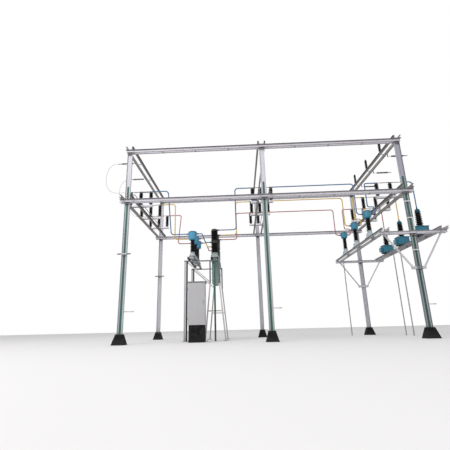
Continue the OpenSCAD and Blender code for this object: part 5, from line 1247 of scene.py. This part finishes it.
door_w, door_h = KIOSK_X[1] - KIOSK_X[0] - 2 * DOOR_RIM, KIOSK_Z[1] - KIOSK_Z[0] - 2 * DOOR_RIM
panel = rounded_rows([
    (door_w, door_h, -SUNK), (door_w, door_h, SUNK),
    (door_w - PANEL_PROUD, door_h - PANEL_PROUD, PANEL_PROUD),
], PANEL_CORNER)
panel_spot = (sum(KIOSK_X) / 2, DOOR_FACE, sum(KIOSK_Z) / 2)
lock_face = DOOR_FACE - PANEL_PROUD
barrel_spot = (LOCK_X, lock_face - LOCK_PLATE[2], LOCK_LEVEL - LOCK_DROP)
shell(
    "kiosk_door_panel",
    [placed(panel, panel_spot, (0, -1, 0), (1, 0, 0)),
     placed(softened(*LOCK_PLATE), (LOCK_X, lock_face, LOCK_LEVEL), (0, -1, 0), (1, 0, 0)),
     placed(turned(LOCK_BARREL, corners=20), barrel_spot, (0, -1, 0))],
    KIOSK_GREY, "kiosk_leaf",
)

# Tube conductors
# Aluminium tubes brush-painted in the phase colours, pinched in two-bolt clamps where
# they enter the terminals of the transformers and the breaker.
TUBE_RADIUS, BREAKER_TAP, BREAKER_LOW = 0.024, 4.760, 4.2075
CT_TERMINAL, BREAKER_TERMINAL = 0.095, 0.220
CLAMP_LONG, CLAMP_WALL, CLAMP_LIP, CLAMP_EDGE = 0.060, 0.006, 0.004, 0.002
LUG_BLOCK, LUG_OUT, LUG_BOLT_REACH = (0.050, 0.022, 0.016), 0.010, 0.013
CLAMP_THREAD, CLAMP_STUB = 0.008, 0.005

for phase, (base, faded, worn) in PHASE_PAINT.items():
    dress(brushed_paint(f"tube_{phase}", base, faded, worn, 0.4), f"{phase}_tubes")
grip = TUBE_RADIUS + CLAMP_WALL
clamp = turned([
    (0, -SUNK), (grip, -SUNK), (grip + CLAMP_LIP, CLAMP_EDGE),
    (grip + CLAMP_LIP, CLAMP_LONG - CLAMP_EDGE), (grip, CLAMP_LONG), (0, CLAMP_LONG),
])
ct_clamps = [
    spots + (way * (radius + CT_TERMINAL - CLAMP_LONG / 2), 0, STEM + tap)
    for spots, radius, tap in ((left_cts, LEFT_HEAD, LEFT_TAP), (right_cts, RIGHT_HEAD, RIGHT_TAP))
    for way in both
]
breaker_clamps = [
    poles + (way * (BREAKER_TERMINAL - CLAMP_LONG / 2), 0, level - DECK)
    for way, level in ((-1, BREAKER_LOW), (1, BREAKER_TAP))
]
clamp_spots = np.concatenate(ct_clamps + breaker_clamps)
lug_spots = np.concatenate([clamp_spots + (0, side * (grip + LUG_OUT), -LUG_BLOCK[2] / 2) for side in both])
lug_bolts = np.concatenate([lug_spots + (side * LUG_BOLT_REACH, 0, 0) for side in both])
shell(
    "tube_clamps",
    [placed(clamp, clamp_spots - (CLAMP_LONG / 2, 0, 0), (1, 0, 0)),
     placed(softened(*LUG_BLOCK), lug_spots, along=(1, 0, 0)),
     placed(hexagonal(CLAMP_THREAD), lug_bolts + (0, 0, LUG_BLOCK[2])),
     placed(hexagonal(CLAMP_THREAD, CLAMP_STUB), lug_bolts, (0, 0, -1))],
    CASTING, "gantry",
)

# Line end
# Small posts on the top right cross beam, and strain strings on eye plates at both
# ends. A clamp with two U-bolts closes each string; the left ones grip their jumpers.
STRINGS = ((-0.106, -1, 7.825), (11.165, 1, 7.655))
EYE_PLATE_LEVEL, EYE_PLATE_BOLT, EYE_PLATE_THICK, EYE_PLATE_THREAD = 7.825, 0.020, 0.008, 0.010
CLAMP_BLOCK, CLAMP_MIDDLE = (0.110, 0.030, 0.026), 0.790
U_BOLT_RISE, U_BOLT_HALF, U_BOLT_WIRE, U_BOLT_REACH, U_BOLT_STEPS = 0.030, 0.014, 0.0035, 0.028, 12
PALM, PALM_CORNER, PALM_RISE, PALM_MIDDLE = (0.070, 0.034, 0.010), 0.008, 0.026, 0.021
PALM_BOLTS, PALM_THREAD = (0.010, 0.034), 0.008

dress(GLAZE, "top_post_insulators", "strain_insulators")
bend = np.linspace(0, np.pi, U_BOLT_STEPS + 1)
bow = np.stack([0 * bend, -np.cos(bend), np.sin(bend) - 1], -1) * U_BOLT_HALF + (0, 0, U_BOLT_RISE)
u_path = np.concatenate([[(0, -U_BOLT_HALF, 0)], bow, [(0, U_BOLT_HALF, 0)]])
u_bolt = carried(u_path, round_wire(U_BOLT_WIRE), (1, 0, 0))
string_grids = []
for face, way, level in STRINGS:
    middle = face + way * CLAMP_MIDDLE
    block_foot = level - CLAMP_BLOCK[2] / 2
    plate_bolts = every(
        [face + way * EYE_PLATE_THICK],
        astride(phase_ys, EYE_PLATE_BOLT), astride(EYE_PLATE_LEVEL, EYE_PLATE_BOLT))
    u_spots = every(astride(middle, U_BOLT_REACH), phase_ys, [block_foot])
    string_grids += [
        placed(hexagonal(EYE_PLATE_THREAD), plate_bolts, (way, 0, 0)),
        placed(softened(*CLAMP_BLOCK), every([middle], phase_ys, [block_foot]), along=(1, 0, 0)),
        placed(u_bolt, u_spots, along=(1, 0, 0)),
    ]
palm_x, palm_level = JUMPER_ROUTE[-1][0], TAP_LEVEL + PALM_RISE
palms = every([palm_x + PALM_MIDDLE], phase_ys, [palm_level])
palm_bolts = every([palm_x + reach for reach in PALM_BOLTS], phase_ys, [palm_level + PALM[2]])
string_grids += [
    placed(softened(*PALM, PALM_CORNER), palms, along=(1, 0, 0)),
    placed(hexagonal(PALM_THREAD), palm_bolts),
]
shell("string_clamps", string_grids, CASTING, "gantry")

# Cable conduits
# Galvanised pipes from the ground up to the outrigger's beams, with sockets where their
# lengths are screwed together and a bush near the top.
CONDUITS = ((10.01, 5.80), (11.94, 3.30), (11.94, 4.05))
BUSH_LEVEL, SOCKET_LEVELS = 3.810, (1.300, 2.600)
SOCKET_ROWS = ((0, 0), (0.029, 0), (0.031, 0.004), (0.031, 0.046), (0.029, 0.050), (0, 0.050))
BUSH_ROWS = ((0, 0), (0.034, 0), (0.034, 0.008), (0.030, 0.012), (0, 0.012))
PIPE_PALE, PIPE_DULL, PIPE_STAIN = (0.38, 0.365, 0.345), (0.28, 0.27, 0.255), (0.14, 0.14, 0.14)

PIPE_ZINC = zinc("pipe_zinc", PIPE_PALE, PIPE_DULL, PIPE_STAIN, patch=2.0, splash=0.4)
dress(PIPE_ZINC, "cable_conduits")
conduit_spots = np.array([(x, y, 0.0) for x, y in CONDUITS])
shell(
    "conduit_sockets",
    [placed(turned(SOCKET_ROWS), conduit_spots + (0, 0, level)) for level in SOCKET_LEVELS]
    + [placed(turned(BUSH_ROWS), conduit_spots + (0, 0, BUSH_LEVEL))],
    PIPE_ZINC, "gantry",
)
